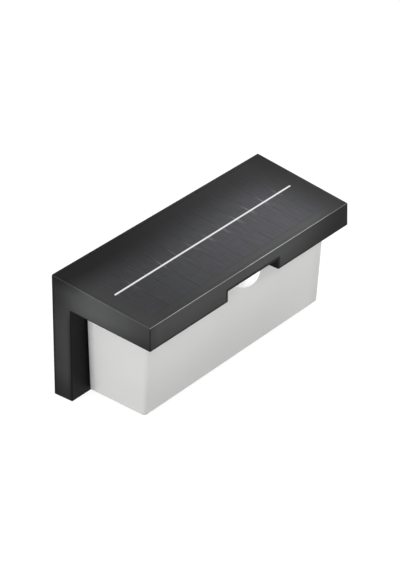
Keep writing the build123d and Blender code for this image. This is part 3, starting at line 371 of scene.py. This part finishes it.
charcoal = moulding("charcoal_abs", (0.048, 0.0485, 0.049), 0.46, grain_size=0.35 * mm,
                    grain_depth=0.016 * mm, arris_wear_and_light=1.0, Specular_IOR_Level=0.12)
# The charcoal gets painted light and shade, and painted shade along its lower edges.
shaded(charcoal, 0.95)
dress(node["housing"], charcoal)

# ---- back cover ----
# A flat plate of the same ABS, screwed over the open back on a silicone cord, with a closed
# pocket moulded round each keyhole.
cover_black = moulding("cover_abs", (0.032, 0.033, 0.034), 0.55, grain_size=0.5 * mm, rub=0.8)
dress(node["back_cover"], cover_black)
seal_grey = moulding("silicone", (0.13, 0.13, 0.13), 0.62, grain_size=0.8 * mm,
                     grain_depth=0.01 * mm, rub=0.2, Sheen_Weight=0.15)
dress(node["back_gasket"], seal_grey)


def blend_colour(tree, share, first, second):
    """first, with second over it by share. A plain colour is given as red, green and blue."""
    first, second = ((*c, 1.0) if isinstance(c, tuple) else c for c in (first, second))
    feed = {0: share, 6: first, 7: second}
    return put(tree, "ShaderNodeMix", feed, data_type="RGBA").outputs[2]


def plated_metal(name, colour, roughness):
    """Plated metal with fine turning marks and dull patches."""
    material, tree, shader = finish_of(name, Metallic=1.0)
    place = place_on(tree)
    patch = noise(tree, place, 420.0, 3.0)
    dull = tuple(0.72 * c for c in colour)
    wire(tree, shader,
         Base_Color=blend_colour(tree, ramp(tree, patch, 0.4, 0.75), colour, dull),
         Roughness=ramp(tree, patch, 0.3, 0.8, roughness, roughness + 0.18),
         Normal=relief(tree, noise(tree, place, 3200.0), 0.03 * mm, 0.6))
    return material


zinc = plated_metal("zinc_steel", (0.56, 0.57, 0.58), 0.3)
dress(node["cover_screws"], zinc)

# ---- battery ----
# Three rechargeable cells in shrink sleeves lie in a moulded tray against the leg's front
# wall, between sprung nickel plates.
tray_black = moulding("tray_abs", (0.024, 0.024, 0.025), 0.6, grain_size=0.6 * mm, rub=0.2)
dress(node["battery_tray"], tray_black)
nickel = plated_metal("nickel", (0.66, 0.63, 0.56), 0.22)
dress(node["battery_contacts"], nickel)


def sleeve():
    """Shrink sleeve: green film with a pale band round each end and small wrinkles."""
    material, tree, shader = finish_of("cell_sleeve", Coat_Weight=0.3, Coat_Roughness=0.2)
    place = place_on(tree)
    wrinkle = noise(tree, place, 900.0)
    film = blend_colour(tree, ramp(tree, wrinkle, 0.3, 0.7), (0.05, 0.2, 0.11),
                        (0.065, 0.26, 0.14))
    from_middle = calc(tree, "ABSOLUTE", split(tree, place)[0])
    band = ramp(tree, from_middle, 18.5 * mm, 18.7 * mm)
    wire(tree, shader,
         Base_Color=blend_colour(tree, band, film, (0.62, 0.63, 0.6)),
         Roughness=ramp(tree, wrinkle, 0.2, 0.8, 0.28, 0.4),
         Normal=relief(tree, wrinkle, 0.04 * mm, 0.5))
    return material


dress(node["battery_cells"], sleeve())

# ---- leads ----
# Pairs of stranded wire in PVC, red beside black, from the battery, the solar panel, the
# LEDs and the sensor to their sockets on the board.
battery_lead_split = 1.8 * mm  # from the outside of that pair to the line between its two wires


def lead_cover(axis, middle):
    """Red PVC on one side of middle along an axis, black on the other, with a dull skin."""
    material, tree, shader = finish_of(f"lead_pvc_{'XYZ'[axis]}_{round(abs(middle) * 1e4)}")
    place = place_on(tree)
    skin = noise(tree, place, 2600.0, 1.0)
    mottle = ramp(tree, skin, 0.3, 0.7)
    red = blend_colour(tree, mottle, (0.42, 0.02, 0.016), (0.55, 0.03, 0.022))
    black = blend_colour(tree, mottle, (0.012, 0.012, 0.012), (0.03, 0.03, 0.03))
    black_side = calc(tree, "GREATER_THAN", split(tree, place)[axis], middle)
    wire(tree, shader,
         Base_Color=blend_colour(tree, black_side, red, black),
         Roughness=ramp(tree, skin, 0.2, 0.8, 0.38, 0.5),
         Normal=relief(tree, skin, 0.03 * mm, 0.3))
    return material


lead_axes = {"battery_leads": 0, "solar_leads": 0, "led_leads": 1, "sensor_leads": 1}
for leads, axis in lead_axes.items():
    low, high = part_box(leads)
    middle = (low[axis] + high[axis]) / 2
    if leads == "battery_leads":
        middle = high[axis] - battery_lead_split
    dress(node[leads], lead_cover(axis, middle))

# ---- light source ----
# A strip board with twelve yellow-faced LEDs, screwed up through a white reflector tray into
# the ceiling of the lamp.
reflector_white = moulding("reflector_white", (0.8, 0.8, 0.79), 0.32, grain_size=1.2 * mm,
                           grain_depth=0.006 * mm, rub=0.1)
dress(node["reflector"], reflector_white)
led_pitch = 12 * mm
phosphor_radius = 1.05 * mm


def circuit_board(name, mask_colour, track_colour, pad_colour, pitch):
    """Solder mask over copper: tracks show as slightly raised paths, with round pads among
    them."""
    material, tree, shader = finish_of(name, Coat_Weight=0.25, Coat_Roughness=0.25)
    place = place_on(tree)
    grid = put(tree, "ShaderNodeTexBrick", {
        "Vector": place, "Color1": (1, 1, 1, 1), "Color2": (0.4, 0.4, 0.4, 1),
        "Mortar": (0, 0, 0, 1), "Scale": 1.0, "Mortar Size": pitch * 0.12,
        "Brick Width": pitch * 3.0, "Row Height": pitch})
    track = put(tree, "ShaderNodeRGBToBW", {0: grid.outputs[0]}).outputs[0]
    pads = put(tree, "ShaderNodeTexVoronoi", {"Vector": place, "Scale": 0.45 / pitch}).outputs[0]
    weave = noise(tree, place, 1800.0, 1.0)
    board = blend_colour(tree, ramp(tree, weave, 0.3, 0.7),
                         tuple(0.85 * c for c in mask_colour), mask_colour)
    board = blend_colour(tree, ramp(tree, track, 0.5, 0.9, 0.0, 0.5), board, track_colour)
    board = blend_colour(tree, ramp(tree, pads, 0.2, 0.16), board, pad_colour)
    wire(tree, shader, Base_Color=board, Roughness=ramp(tree, weave, 0.2, 0.8, 0.3, 0.45),
         Normal=relief(tree, track, 0.04 * mm, 0.4))
    return material


white_board = circuit_board("white_board", (0.72, 0.73, 0.7), (0.62, 0.64, 0.6),
                            (0.6, 0.58, 0.5), 4 * mm)
dress(node["led_board"], white_board)


def led_package():
    """White moulded LED cup: yellow phosphor in a round pool at the middle of each package."""
    material, tree, shader = finish_of("led_package")
    place = place_on(tree)
    x, y, _ = split(tree, place)
    low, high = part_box("leds")
    beside = calc(tree, "SUBTRACT", calc(tree, "PINGPONG", x, led_pitch / 2), led_pitch / 2)
    ahead = calc(tree, "SUBTRACT", y, (low[1] + high[1]) / 2)
    pool = ramp(tree, distance(tree, beside, ahead), phosphor_radius + 0.1 * mm,
                phosphor_radius - 0.1 * mm)
    cast = noise(tree, place, 2400.0)
    phosphor = blend_colour(tree, cast, (0.8, 0.62, 0.1), (0.86, 0.7, 0.2))
    wire(tree, shader,
         Base_Color=blend_colour(tree, pool, (0.82, 0.82, 0.78), phosphor),
         Roughness=ramp(tree, cast, 0.2, 0.8, 0.3, 0.42),
         Normal=relief(tree, calc(tree, "SUBTRACT", 1.0, pool), 0.1 * mm, 0.4))
    return material


dress(node["leds"], led_package())
dress(node["led_screws"], zinc)

# ---- motion sensor ----
# A sensor can on its own small board looks out through a white polyethylene dome, whose inner
# face is cut into lens facets that show faintly through the wall. Their sizes are angles.
facet_ring = np.pi / 10
facet_sector = np.pi / 8
facet_line = 0.03


def from_point(tree, place, point):
    """A place measured from a point of the light."""
    feed = {0: place, 1: tuple(point)}
    return put(tree, "ShaderNodeVectorMath", feed, operation="SUBTRACT").outputs[0]


def lens_dome():
    """White polyethylene with faint facet lines: rings at equal steps of the angle off straight
    down, each divided into sectors by the turn round the dome's upright middle line. The dome also
    glows a little by itself, which is painted light."""
    # The emission is painted light: the dome glows a little, though it is no lamp.
    material, tree, shader = finish_of(
        "lens_dome", Subsurface_Weight=0.25, Subsurface_Scale=4 * mm,
        Subsurface_Radius=(1.0, 1.0, 1.0), Emission_Color=(1.0, 1.0, 1.0, 1.0),
        Emission_Strength=0.3)
    low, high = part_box("sensor_dome")
    radius = (high[0] - low[0]) / 2
    centre = ((low[0] + high[0]) / 2, (low[1] + high[1]) / 2, low[2] + radius)
    place = place_on(tree)
    x, y, z = split(tree, from_point(tree, place, centre))
    off_down = calc(tree, "ARCTAN2", distance(tree, x, y), product(tree, z, -1.0))
    turn = calc(tree, "ARCTAN2", y, x)
    to_ring = calc(tree, "PINGPONG", off_down, facet_ring / 2)
    to_sector = product(tree, calc(tree, "PINGPONG", turn, facet_sector / 2),
                        calc(tree, "SINE", off_down))
    facet = calc(tree, "MINIMUM", ramp(tree, to_ring, 0.0, facet_line),
                 ramp(tree, to_sector, 0.0, facet_line))
    haze = noise(tree, place, 900.0)
    wire(tree, shader,
         Base_Color=blend_colour(tree, facet, (0.9, 0.9, 0.895), (0.96, 0.96, 0.955)),
         Roughness=ramp(tree, haze, 0.2, 0.8, 0.34, 0.46),
         Normal=relief(tree, facet, 0.06 * mm, 0.35))
    return material


dress(node["sensor_dome"], lens_dome())
dress(node["dome_ring"], reflector_white)
green_board = circuit_board("green_board", (0.02, 0.12, 0.055), (0.05, 0.2, 0.08),
                            (0.5, 0.48, 0.4), 2.2 * mm)
dress(node["sensor_board"], green_board)
dress(node["sensor_can"], nickel)
dress(node["sensor_screws"], zinc)

# ---- control board ----
# Charges the cells by day and drives the LEDs by night. It stands on bosses over the ceiling
# plate, with nylon sockets along two edges.
dress(node["control_board"], green_board)
chip_black = moulding("epoxy_package", (0.02, 0.02, 0.021), 0.48, grain_size=0.2 * mm,
                      grain_depth=0.008 * mm, rub=0.1)
dress(node["board_components"], chip_black)
dress(node["board_screws"], zinc)
nylon = moulding("socket_nylon", (0.72, 0.69, 0.6), 0.45, grain_size=0.7 * mm,
                 grain_depth=0.008 * mm, rub=0.1)
dress(node["sockets"], nylon)

# ---- mode button ----
# A soft rubber button in a bezel under the right end of the roof. It presses the plunger of a
# small switch that hangs under the board.
button_black = moulding("button_rubber", (0.045, 0.045, 0.046), 0.7, grain_size=0.3 * mm,
                        grain_depth=0.01 * mm, rub=0.6, Sheen_Weight=0.2)
dress(node["mode_button"], button_black)
dress(node["button_seal"], seal_grey)
dress(node["mode_switch"], chip_black)
dress(node["switch_plunger"], tray_black)

# ---- diffuser ----
# A milky polycarbonate box, thin enough to glow when lit, whose rim is drawn up into the
# roof against a silicone gasket by four screws.


def opal():
    """Milky plastic: light carried a little way inside, a satin skin with slow waviness from the
    mould. Painted light and shade: the front is painted paler at its upper left, and darker low
    down and by its right corner, and the other faces a little darker low down."""
    material, tree, shader = finish_of(
        "opal_polycarbonate", Subsurface_Weight=0.35, Subsurface_Scale=6 * mm,
        Subsurface_Radius=(1.0, 1.0, 0.97))
    place = place_on(tree)
    x, _, z = split(tree, place)
    # Painted light and shade on the diffuser's walls.
    low_shade = ramp(tree, x, 20 * mm, 80 * mm, 0.87, 0.95)
    front_light_and_shade = product(
        tree,
        ramp(tree, x, -88 * mm, 0.0, 1.1, 1.0),
        ramp(tree, x, 76 * mm, 90 * mm, 1.0, 0.92),
        ramp(tree, z, -12 * mm, -54 * mm, 1.0, low_shade),
    )
    side_shade = ramp(tree, z, -20 * mm, -50 * mm, 1.0, 0.96)
    on_front = ramp(tree, product(tree, facing_on(tree)[1], -1.0), 0.4, 0.9)
    opal_light_and_shade = blend(tree, on_front, side_shade, front_light_and_shade)
    slow = noise(tree, place, 16.0)
    milk = blend_colour(tree, ramp(tree, slow, 0.3, 0.7), (0.685, 0.685, 0.677),
                        (0.71, 0.71, 0.702))
    waves = relief(tree, slow, 0.6 * mm, 0.3)
    wire(tree, shader,
         Base_Color=toned(tree, milk, opal_light_and_shade),
         Roughness=ramp(tree, slow, 0.2, 0.8, 0.4, 0.5),
         Normal=relief(tree, noise(tree, place, 2400.0), 0.01 * mm, 0.5, Normal=waves))
    return material


dress(node["diffuser"], opal())
dress(node["diffuser_gasket"], seal_grey)
dress(node["diffuser_screws"], zinc)

# ---- solar panel ----
# Twelve strips of silicon on a black board, joined by one tinned ribbon and laminated under a
# matte film. The board is bedded on silicone in the pocket of the roof, flush with its rim.
panel_inset = 2.3 * mm
film_thickness = 1.2 * mm
film_round = 0.15 * mm  # the film's edge falls away over this width
film_fall = 0.08 * mm  # and by this much
cell_count = 12
cells_length = 178 * mm
cells_half_depth = 32.5 * mm
cell_gap = 0.45 * mm
groove_depth = 0.02 * mm
cell_pitch = (cells_length + cell_gap) / cell_count
ribbon_width = 1.35 * mm
ribbon_length = 178.3 * mm
ribbon_x = -1.25 * mm  # the ribbon's middle, from the middle of the roof
ribbon_s = -1.05 * mm
ribbon_turn = 0.0084
ribbon_edge = 0.1 * mm  # its edges slope over twice this width
ridge_height = 0.05 * mm
slope = np.hypot(roof_depth, roof_drop)
roof_middle = np.array([0.0, -roof_depth / 2, roof_back - roof_drop / 2])
up_slope = np.array([0.0, roof_depth, roof_drop]) / slope
off_roof = np.array([0.0, -roof_drop, roof_depth]) / slope


def mesh_piece(name, corners, faces, material):
    """A mesh object at the origin from an array of corners and a list of flat faces."""
    mesh = bpy.data.meshes.new(name)
    mesh.from_pydata(corners.tolist(), [], faces)
    mesh.materials.append(material)
    mesh.update()
    piece = bpy.data.objects.new(name, mesh)
    bpy.context.scene.collection.objects.link(piece)
    return piece


def film_end(s):
    """Half the film's length at s up the slope: the roof's own, with the flare of its ends
    towards the wall and their draft downwards, less the panel's inset."""
    up = (s + slope / 2) / slope
    draft = end_draft * roof_drop * (1 - up) / light_height
    return roof_length / 2 + end_flare * up + draft - panel_inset


def film_face():
    """Top of the laminate over x along the roof and s up its slope, both in metres from the middle.
    Its height is a ridge 0.05 mm high over the ribbon, whose middle line is s = ribbon_s +
    ribbon_turn (x - ribbon_x), less a groove 0.02 mm deep over each gap between cells. The last
    0.15 mm round the edge falls away. Below it the same outline runs straight down by the
    film's thickness, and one flat face closes it."""
    half_s = slope / 2 - panel_inset
    gaps = (np.arange(cell_count + 1) - cell_count / 2) * cell_pitch
    over_gap = np.array([-0.6 * mm, -cell_gap / 2, 0.0, cell_gap / 2, 0.6 * mm])
    over_tip = np.array([-0.5, -0.2, 0.1]) * mm
    from_edge = np.array([0.0, film_round, 0.4 * mm])
    over_ribbon = np.array([-0.85, -0.65, -0.4, 0.0, 0.4, 0.65, 0.85]) * mm

    # The grid: its rows and columns crowd where the height changes.
    tips = (ribbon_length / 2 + over_tip)[:, None] * [-1, 1] + ribbon_x
    inner = np.sort(np.concatenate([(gaps[:, None] + over_gap).ravel(), tips.ravel()]))
    row_s = np.sort(np.concatenate([
        -half_s + from_edge, half_s - from_edge, over_ribbon,
        [-cells_half_depth, cells_half_depth], np.linspace(-30, 30, 9) * mm]))
    ends = film_end(row_s)[:, None] - from_edge
    inner = np.repeat(inner[None, :], len(row_s), axis=0)
    x = np.concatenate([-ends, inner, ends[:, ::-1]], axis=1)

    # Rows near the ribbon bend onto its line, and are straight again 15 mm off and at the ends.
    s = np.repeat(row_s[:, None], x.shape[1], axis=1)
    ribbon_line = ribbon_s + ribbon_turn * (x - ribbon_x)
    bend = np.clip((15 * mm - np.abs(s)) / (14 * mm), 0, 1)
    s = s + ribbon_line * bend * np.clip((98 * mm - np.abs(x)) / (6 * mm), 0, 1)

    in_depth = np.abs(s) <= cells_half_depth + 0.001 * mm
    in_length = np.abs(x) <= cells_length / 2 + cell_gap
    to_gap = np.min(np.abs(x[:, :, None] - gaps), axis=2)
    groove = np.clip(1 - to_gap / (cell_gap / 2), 0, 1) * groove_depth * (in_depth & in_length)
    past_end = np.maximum(np.abs(x - ribbon_x) - (ribbon_length - ribbon_width) / 2, 0)
    inside = ribbon_width / 2 + ribbon_edge - np.hypot(past_end, s - ribbon_line)
    ridge = np.clip(inside / (2 * ribbon_edge), 0, 1) * ridge_height
    to_edge = np.minimum(half_s - np.abs(s), film_end(s) - np.abs(x))
    fall = np.clip(1 - to_edge / film_round, 0, 1) * film_fall
    height = np.where(ridge > 0, ridge, -groove) - fall
    top = roof_middle + x[..., None] * [1, 0, 0] + s[..., None] * up_slope
    top = top + height[..., None] * off_roof

    # Quads between neighbours of the grid, then the walls and the closing face.
    number = np.arange(x.size).reshape(x.shape)
    quads = np.stack([number[:-1, :-1], number[:-1, 1:], number[1:, 1:], number[1:, :-1]], axis=-1)
    rim = np.concatenate([number[0, :-1], number[:-1, -1], number[-1, :0:-1], number[:0:-1, 0]])
    corners = top.reshape(-1, 3)
    low = corners[rim] - off_roof * film_thickness
    skirt = len(corners) + np.arange(len(rim))
    walls = np.stack([rim, skirt, np.roll(skirt, -1), np.roll(rim, -1)], axis=-1)
    faces = np.concatenate([quads.reshape(-1, 4), walls]).tolist() + [skirt[::-1].tolist()]
    return np.concatenate([corners, low]), faces


def laminate():
    """Matte film over the cells. Masks come from x and s on the roof: distance to the nearest gap,
    to the ribbon's middle line and to the edge of the cells. Bright solder tips cross the ribbon at
    each gap and taper away from it between finer hairs, which are painted glints. A broken dark
    seam runs along the front edge of the cells. Painted light and shade drift over the film as over
    the black plastic."""
    material, tree, shader = finish_of("solar_laminate", Specular_IOR_Level=0.1)
    feed = {"Vector": from_point(tree, place_on(tree), roof_middle),
            "Angle": -float(np.arctan2(roof_drop, roof_depth))}
    flat = put(tree, "ShaderNodeVectorRotate", feed, rotation_type="X_AXIS").outputs[0]
    x, s, _ = split(tree, flat)
    size_x, size_s = calc(tree, "ABSOLUTE", x), calc(tree, "ABSOLUTE", s)
    soft = 0.12 * mm
    in_length = ramp(tree, size_x, cells_length / 2 + soft, cells_length / 2 - soft)
    in_depth = ramp(tree, size_s, cells_half_depth + soft, cells_half_depth - soft)
    to_gap = calc(tree, "PINGPONG", x, cell_pitch / 2)

    along_ribbon = calc(tree, "SUBTRACT", x, ribbon_x)
    ribbon_line = calc(tree, "MULTIPLY_ADD", along_ribbon, ribbon_turn, ribbon_s)
    off_ribbon = calc(tree, "SUBTRACT", s, ribbon_line)
    past_end = calc(tree, "SUBTRACT", calc(tree, "ABSOLUTE", along_ribbon),
                    (ribbon_length - ribbon_width) / 2)
    to_ribbon = distance(tree, calc(tree, "MAXIMUM", past_end, 0.0), off_ribbon)
    ribbon = ramp(tree, to_ribbon, ribbon_width / 2 + soft, ribbon_width / 2 - soft)

    streaks_along = noise(tree, stretched(tree, flat, (60.0, 1100.0, 1.0)), 1.0, 3.0, 0.6)
    streaks_across = noise(tree, stretched(tree, flat, (1400.0, 60.0, 1.0)), 1.0, 3.0, 0.6)
    patch = noise(tree, flat, 28.0)
    finger = calc(tree, "PINGPONG", x, cell_pitch / 16)
    tone = product(
        tree,
        ramp(tree, streaks_along, 0.3, 0.7, 0.92, 1.08),
        ramp(tree, streaks_across, 0.3, 0.7, 0.84, 1.16),
        ramp(tree, finger, 0.05 * mm, 0.16 * mm, 1.1, 1.0),
    )
    silicon = blend_colour(tree, ramp(tree, patch, 0.4, 0.65), (0.0515, 0.0525, 0.0565),
                           (0.0535, 0.0525, 0.06))
    dark_line = (0.02, 0.02, 0.022)
    gap = product(tree, ramp(tree, to_gap, 0.42 * mm, 0.12 * mm), 0.48)
    cells = blend_colour(tree, gap, toned(tree, silicon, tone), dark_line)

    # The solder tips and the painted glints reach 8 mm from the ribbon to the front of it, 11 mm
    # behind it.
    reach = ramp(tree, off_ribbon, -0.5 * mm, 0.5 * mm, 8 * mm, 11 * mm)
    fade = calc(tree, "DIVIDE", calc(tree, "ABSOLUTE", off_ribbon), reach)
    fade = calc(tree, "SUBTRACT", 1.0, fade, clamp=True)
    width = calc(tree, "MULTIPLY_ADD", fade, 0.3 * mm, 0.12 * mm)
    tips = product(
        tree,
        ramp(tree, to_gap, width, product(tree, width, 0.4)),
        fade,
        ramp(tree, patch, 0.35, 0.65, 0.15, 0.7),
    )
    # Painted glints: fine bright hairs near each gap, fading away from the ribbon.
    glint_hairs = product(
        tree,
        fade,
        ramp(tree, to_gap, 2.6 * mm, 0.5 * mm),
        ramp(tree, streaks_across, 0.5, 0.66, 0.0, 0.5),
        ramp(tree, patch, 0.4, 0.6, 0.2, 1.0),
    )
    cells = blend_colour(tree, calc(tree, "MAXIMUM", tips, glint_hairs), cells, (0.34, 0.34, 0.35))
    in_cells = product(tree, in_length, in_depth)
    face = blend_colour(tree, in_cells, (0.052, 0.0525, 0.053), cells)
    to_front = calc(tree, "ABSOLUTE", calc(tree, "ADD", s, cells_half_depth))
    seam = product(
        tree,
        ramp(tree, to_front, 0.4 * mm, 0.1 * mm),
        ramp(tree, size_x, cells_length / 2, cells_length / 2 - soft),
        ramp(tree, streaks_across, 0.42, 0.58, 0.1, 0.6),
    )
    face = blend_colour(tree, seam, face, dark_line)
    # Painted light and shade over the film, the same as on the black plastic; the ribbon is not
    # toned.
    painted_tone = put(tree, "ShaderNodeGroup", node_tree=painted_tones).outputs[0]
    face = blend_colour(tree, ribbon, toned(tree, face, painted_tone), (0.92, 0.92, 0.91))
    rough = calc(tree, "MULTIPLY_ADD", patch, 0.06, 0.44)
    wire(tree, shader,
         Base_Color=face,
         Roughness=calc(tree, "MULTIPLY_ADD", ribbon, -0.12, rough),
         Normal=relief(tree, noise(tree, flat, 3000.0), 0.01 * mm, 0.8))
    return material


panel_film = mesh_piece("panel_film", *film_face(), laminate())
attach(panel_film, "light")
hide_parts("panel_cover")


def silicon_strip():
    """Dark blue silicon with a fine metal finger every 1.4 mm."""
    material, tree, shader = finish_of("silicon_strip", Coat_Weight=0.5, Coat_Roughness=0.12)
    place = place_on(tree)
    to_finger = calc(tree, "PINGPONG", split(tree, place)[0], 1.4 * mm / 2)
    finger = ramp(tree, to_finger, 0.04 * mm, 0.08 * mm, 1.0, 0.0)
    crystal = put(tree, "ShaderNodeTexVoronoi", {"Vector": place, "Scale": 260.0}).outputs[0]
    blue = blend_colour(tree, ramp(tree, crystal, 0.2, 0.7), (0.012, 0.016, 0.045),
                        (0.02, 0.026, 0.07))
    wire(tree, shader,
         Base_Color=blend_colour(tree, finger, blue, (0.4, 0.4, 0.4)),
         Roughness=ramp(tree, crystal, 0.1, 0.8, 0.22, 0.34),
         Normal=relief(tree, finger, 0.01 * mm, 0.3))
    return material


dress(node["solar_cells"], silicon_strip())
dress(node["busbar"], plated_metal("tinned_ribbon", (0.74, 0.74, 0.72), 0.3))
black_board = circuit_board("black_board", (0.018, 0.018, 0.019), (0.03, 0.03, 0.031),
                            (0.3, 0.28, 0.2), 5 * mm)
dress(node["panel_board"], black_board)
dress(node["panel_seal"], seal_grey)

# ---- studio ----
# A white floor in a soft white room. Two broad lamps stand a little behind the object, left and
# right of it, a low one in front lights the diffuser, and a small one picks out the edges.
floor_size = 6.0
floor_z = foot_z - 0.1 * mm
floor_glow = 0.92
room_light = 0.4


def white_for_eye(tree):
    """1 for rays from the camera, a mirror or glass, else 0."""
    path = put(tree, "ShaderNodeLightPath").outputs
    seen = calc(tree, "MAXIMUM", path["Is Camera Ray"], path["Is Glossy Ray"])
    return calc(tree, "MAXIMUM", seen, path["Is Transmission Ray"])


floor_white, tree, shader = finish_of(
    "floor_white", Base_Color=(0.14, 0.14, 0.14, 1.0), Roughness=0.9)
glow = put(tree, "ShaderNodeEmission", {
    "Color": (1, 1, 1, 1), "Strength": product(tree, white_for_eye(tree), floor_glow)})
both = put(tree, "ShaderNodeAddShader", {0: shader.outputs[0], 1: glow.outputs[0]})
clear = put(tree, "ShaderNodeBsdfTransparent")
from_below = put(tree, "ShaderNodeNewGeometry").outputs["Backfacing"]
sides = {0: from_below, 1: both.outputs[0], 2: clear.outputs[0]}
one_sided = put(tree, "ShaderNodeMixShader", sides).outputs[0]
wire(tree, tree.nodes["Material Output"], Surface=one_sided)
floor_corners = np.array([[-1, -1, 0], [1, -1, 0], [1, 1, 0], [-1, 1, 0]]) * floor_size / 2
floor = mesh_piece("floor", floor_corners + [0, 0, floor_z], [[0, 1, 2, 3]], floor_white)
floor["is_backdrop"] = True

world = bpy.data.worlds.new("white_room")
world.use_nodes = True
bpy.context.scene.world = world
room = world.node_tree
background = room.nodes["Background"]
background.inputs["Color"].default_value = (1, 1, 1, 1)
wire(room, background, Strength=ramp(room, white_for_eye(room), 0.0, 1.0, room_light, 1.0))


def lamp(name, place, aim, size, watts):
    """A square area lamp at place that faces aim."""
    data = bpy.data.lights.new(name, "AREA")
    data.shape, data.size, data.energy = "SQUARE", size, watts
    made = bpy.data.objects.new(name, data)
    made.location = place
    made.rotation_euler = (Vector(aim) - Vector(place)).to_track_quat("-Z", "Y").to_euler()
    made.visible_camera = False
    bpy.context.scene.collection.objects.link(made)


lamp("left_lamp", (-0.9, 0.15, 0.25), (-0.1, -0.04, -0.01), 0.5, 6.3)
lamp("right_lamp", (0.9, 0.15, 0.25), (0.1, -0.04, -0.01), 0.5, 3.5)
lamp("front_lamp", (0.04, -0.6, 0.12), (0, -0.08, -0.02), 0.22, 1.55)
lamp("edge_lamp", (0.322, -0.346, 0.296), (0, -0.08, 0.02), 0.1, 0.5)

# The camera stands where the photograph was taken from: to the left and above, far off with a
# long lens. The angles and the distance come from the corners of the object's outline.
azimuth, elevation, roll = np.radians([-49.25, 32.02, -0.67])
camera_distance = 1.4570
aim = Vector((-0.00653, -0.04, -0.00843))
focal_px = 2215.4
frame_height_px = 570
sensor = 36.0
back = Vector((np.sin(azimuth) * np.cos(elevation), -np.cos(azimuth) * np.cos(elevation),
               np.sin(elevation)))
level = Vector((0, 0, 1)).cross(back).normalized()
upright = back.cross(level)
right = level * np.cos(roll) + upright * np.sin(roll)
up = upright * np.cos(roll) - level * np.sin(roll)
camera_data = bpy.data.cameras.new("camera")
camera_data.sensor_width = sensor
camera_data.lens = focal_px * sensor / frame_height_px
camera = bpy.data.objects.new("camera", camera_data)
camera.rotation_euler = Matrix((right, up, back)).transposed().to_euler()
camera.location = aim + back * camera_distance
bpy.context.scene.collection.objects.link(camera)
bpy.context.scene.camera = camera
bpy.context.scene.view_settings.view_transform = "Standard"

# The outer size after dressing.
low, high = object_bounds()
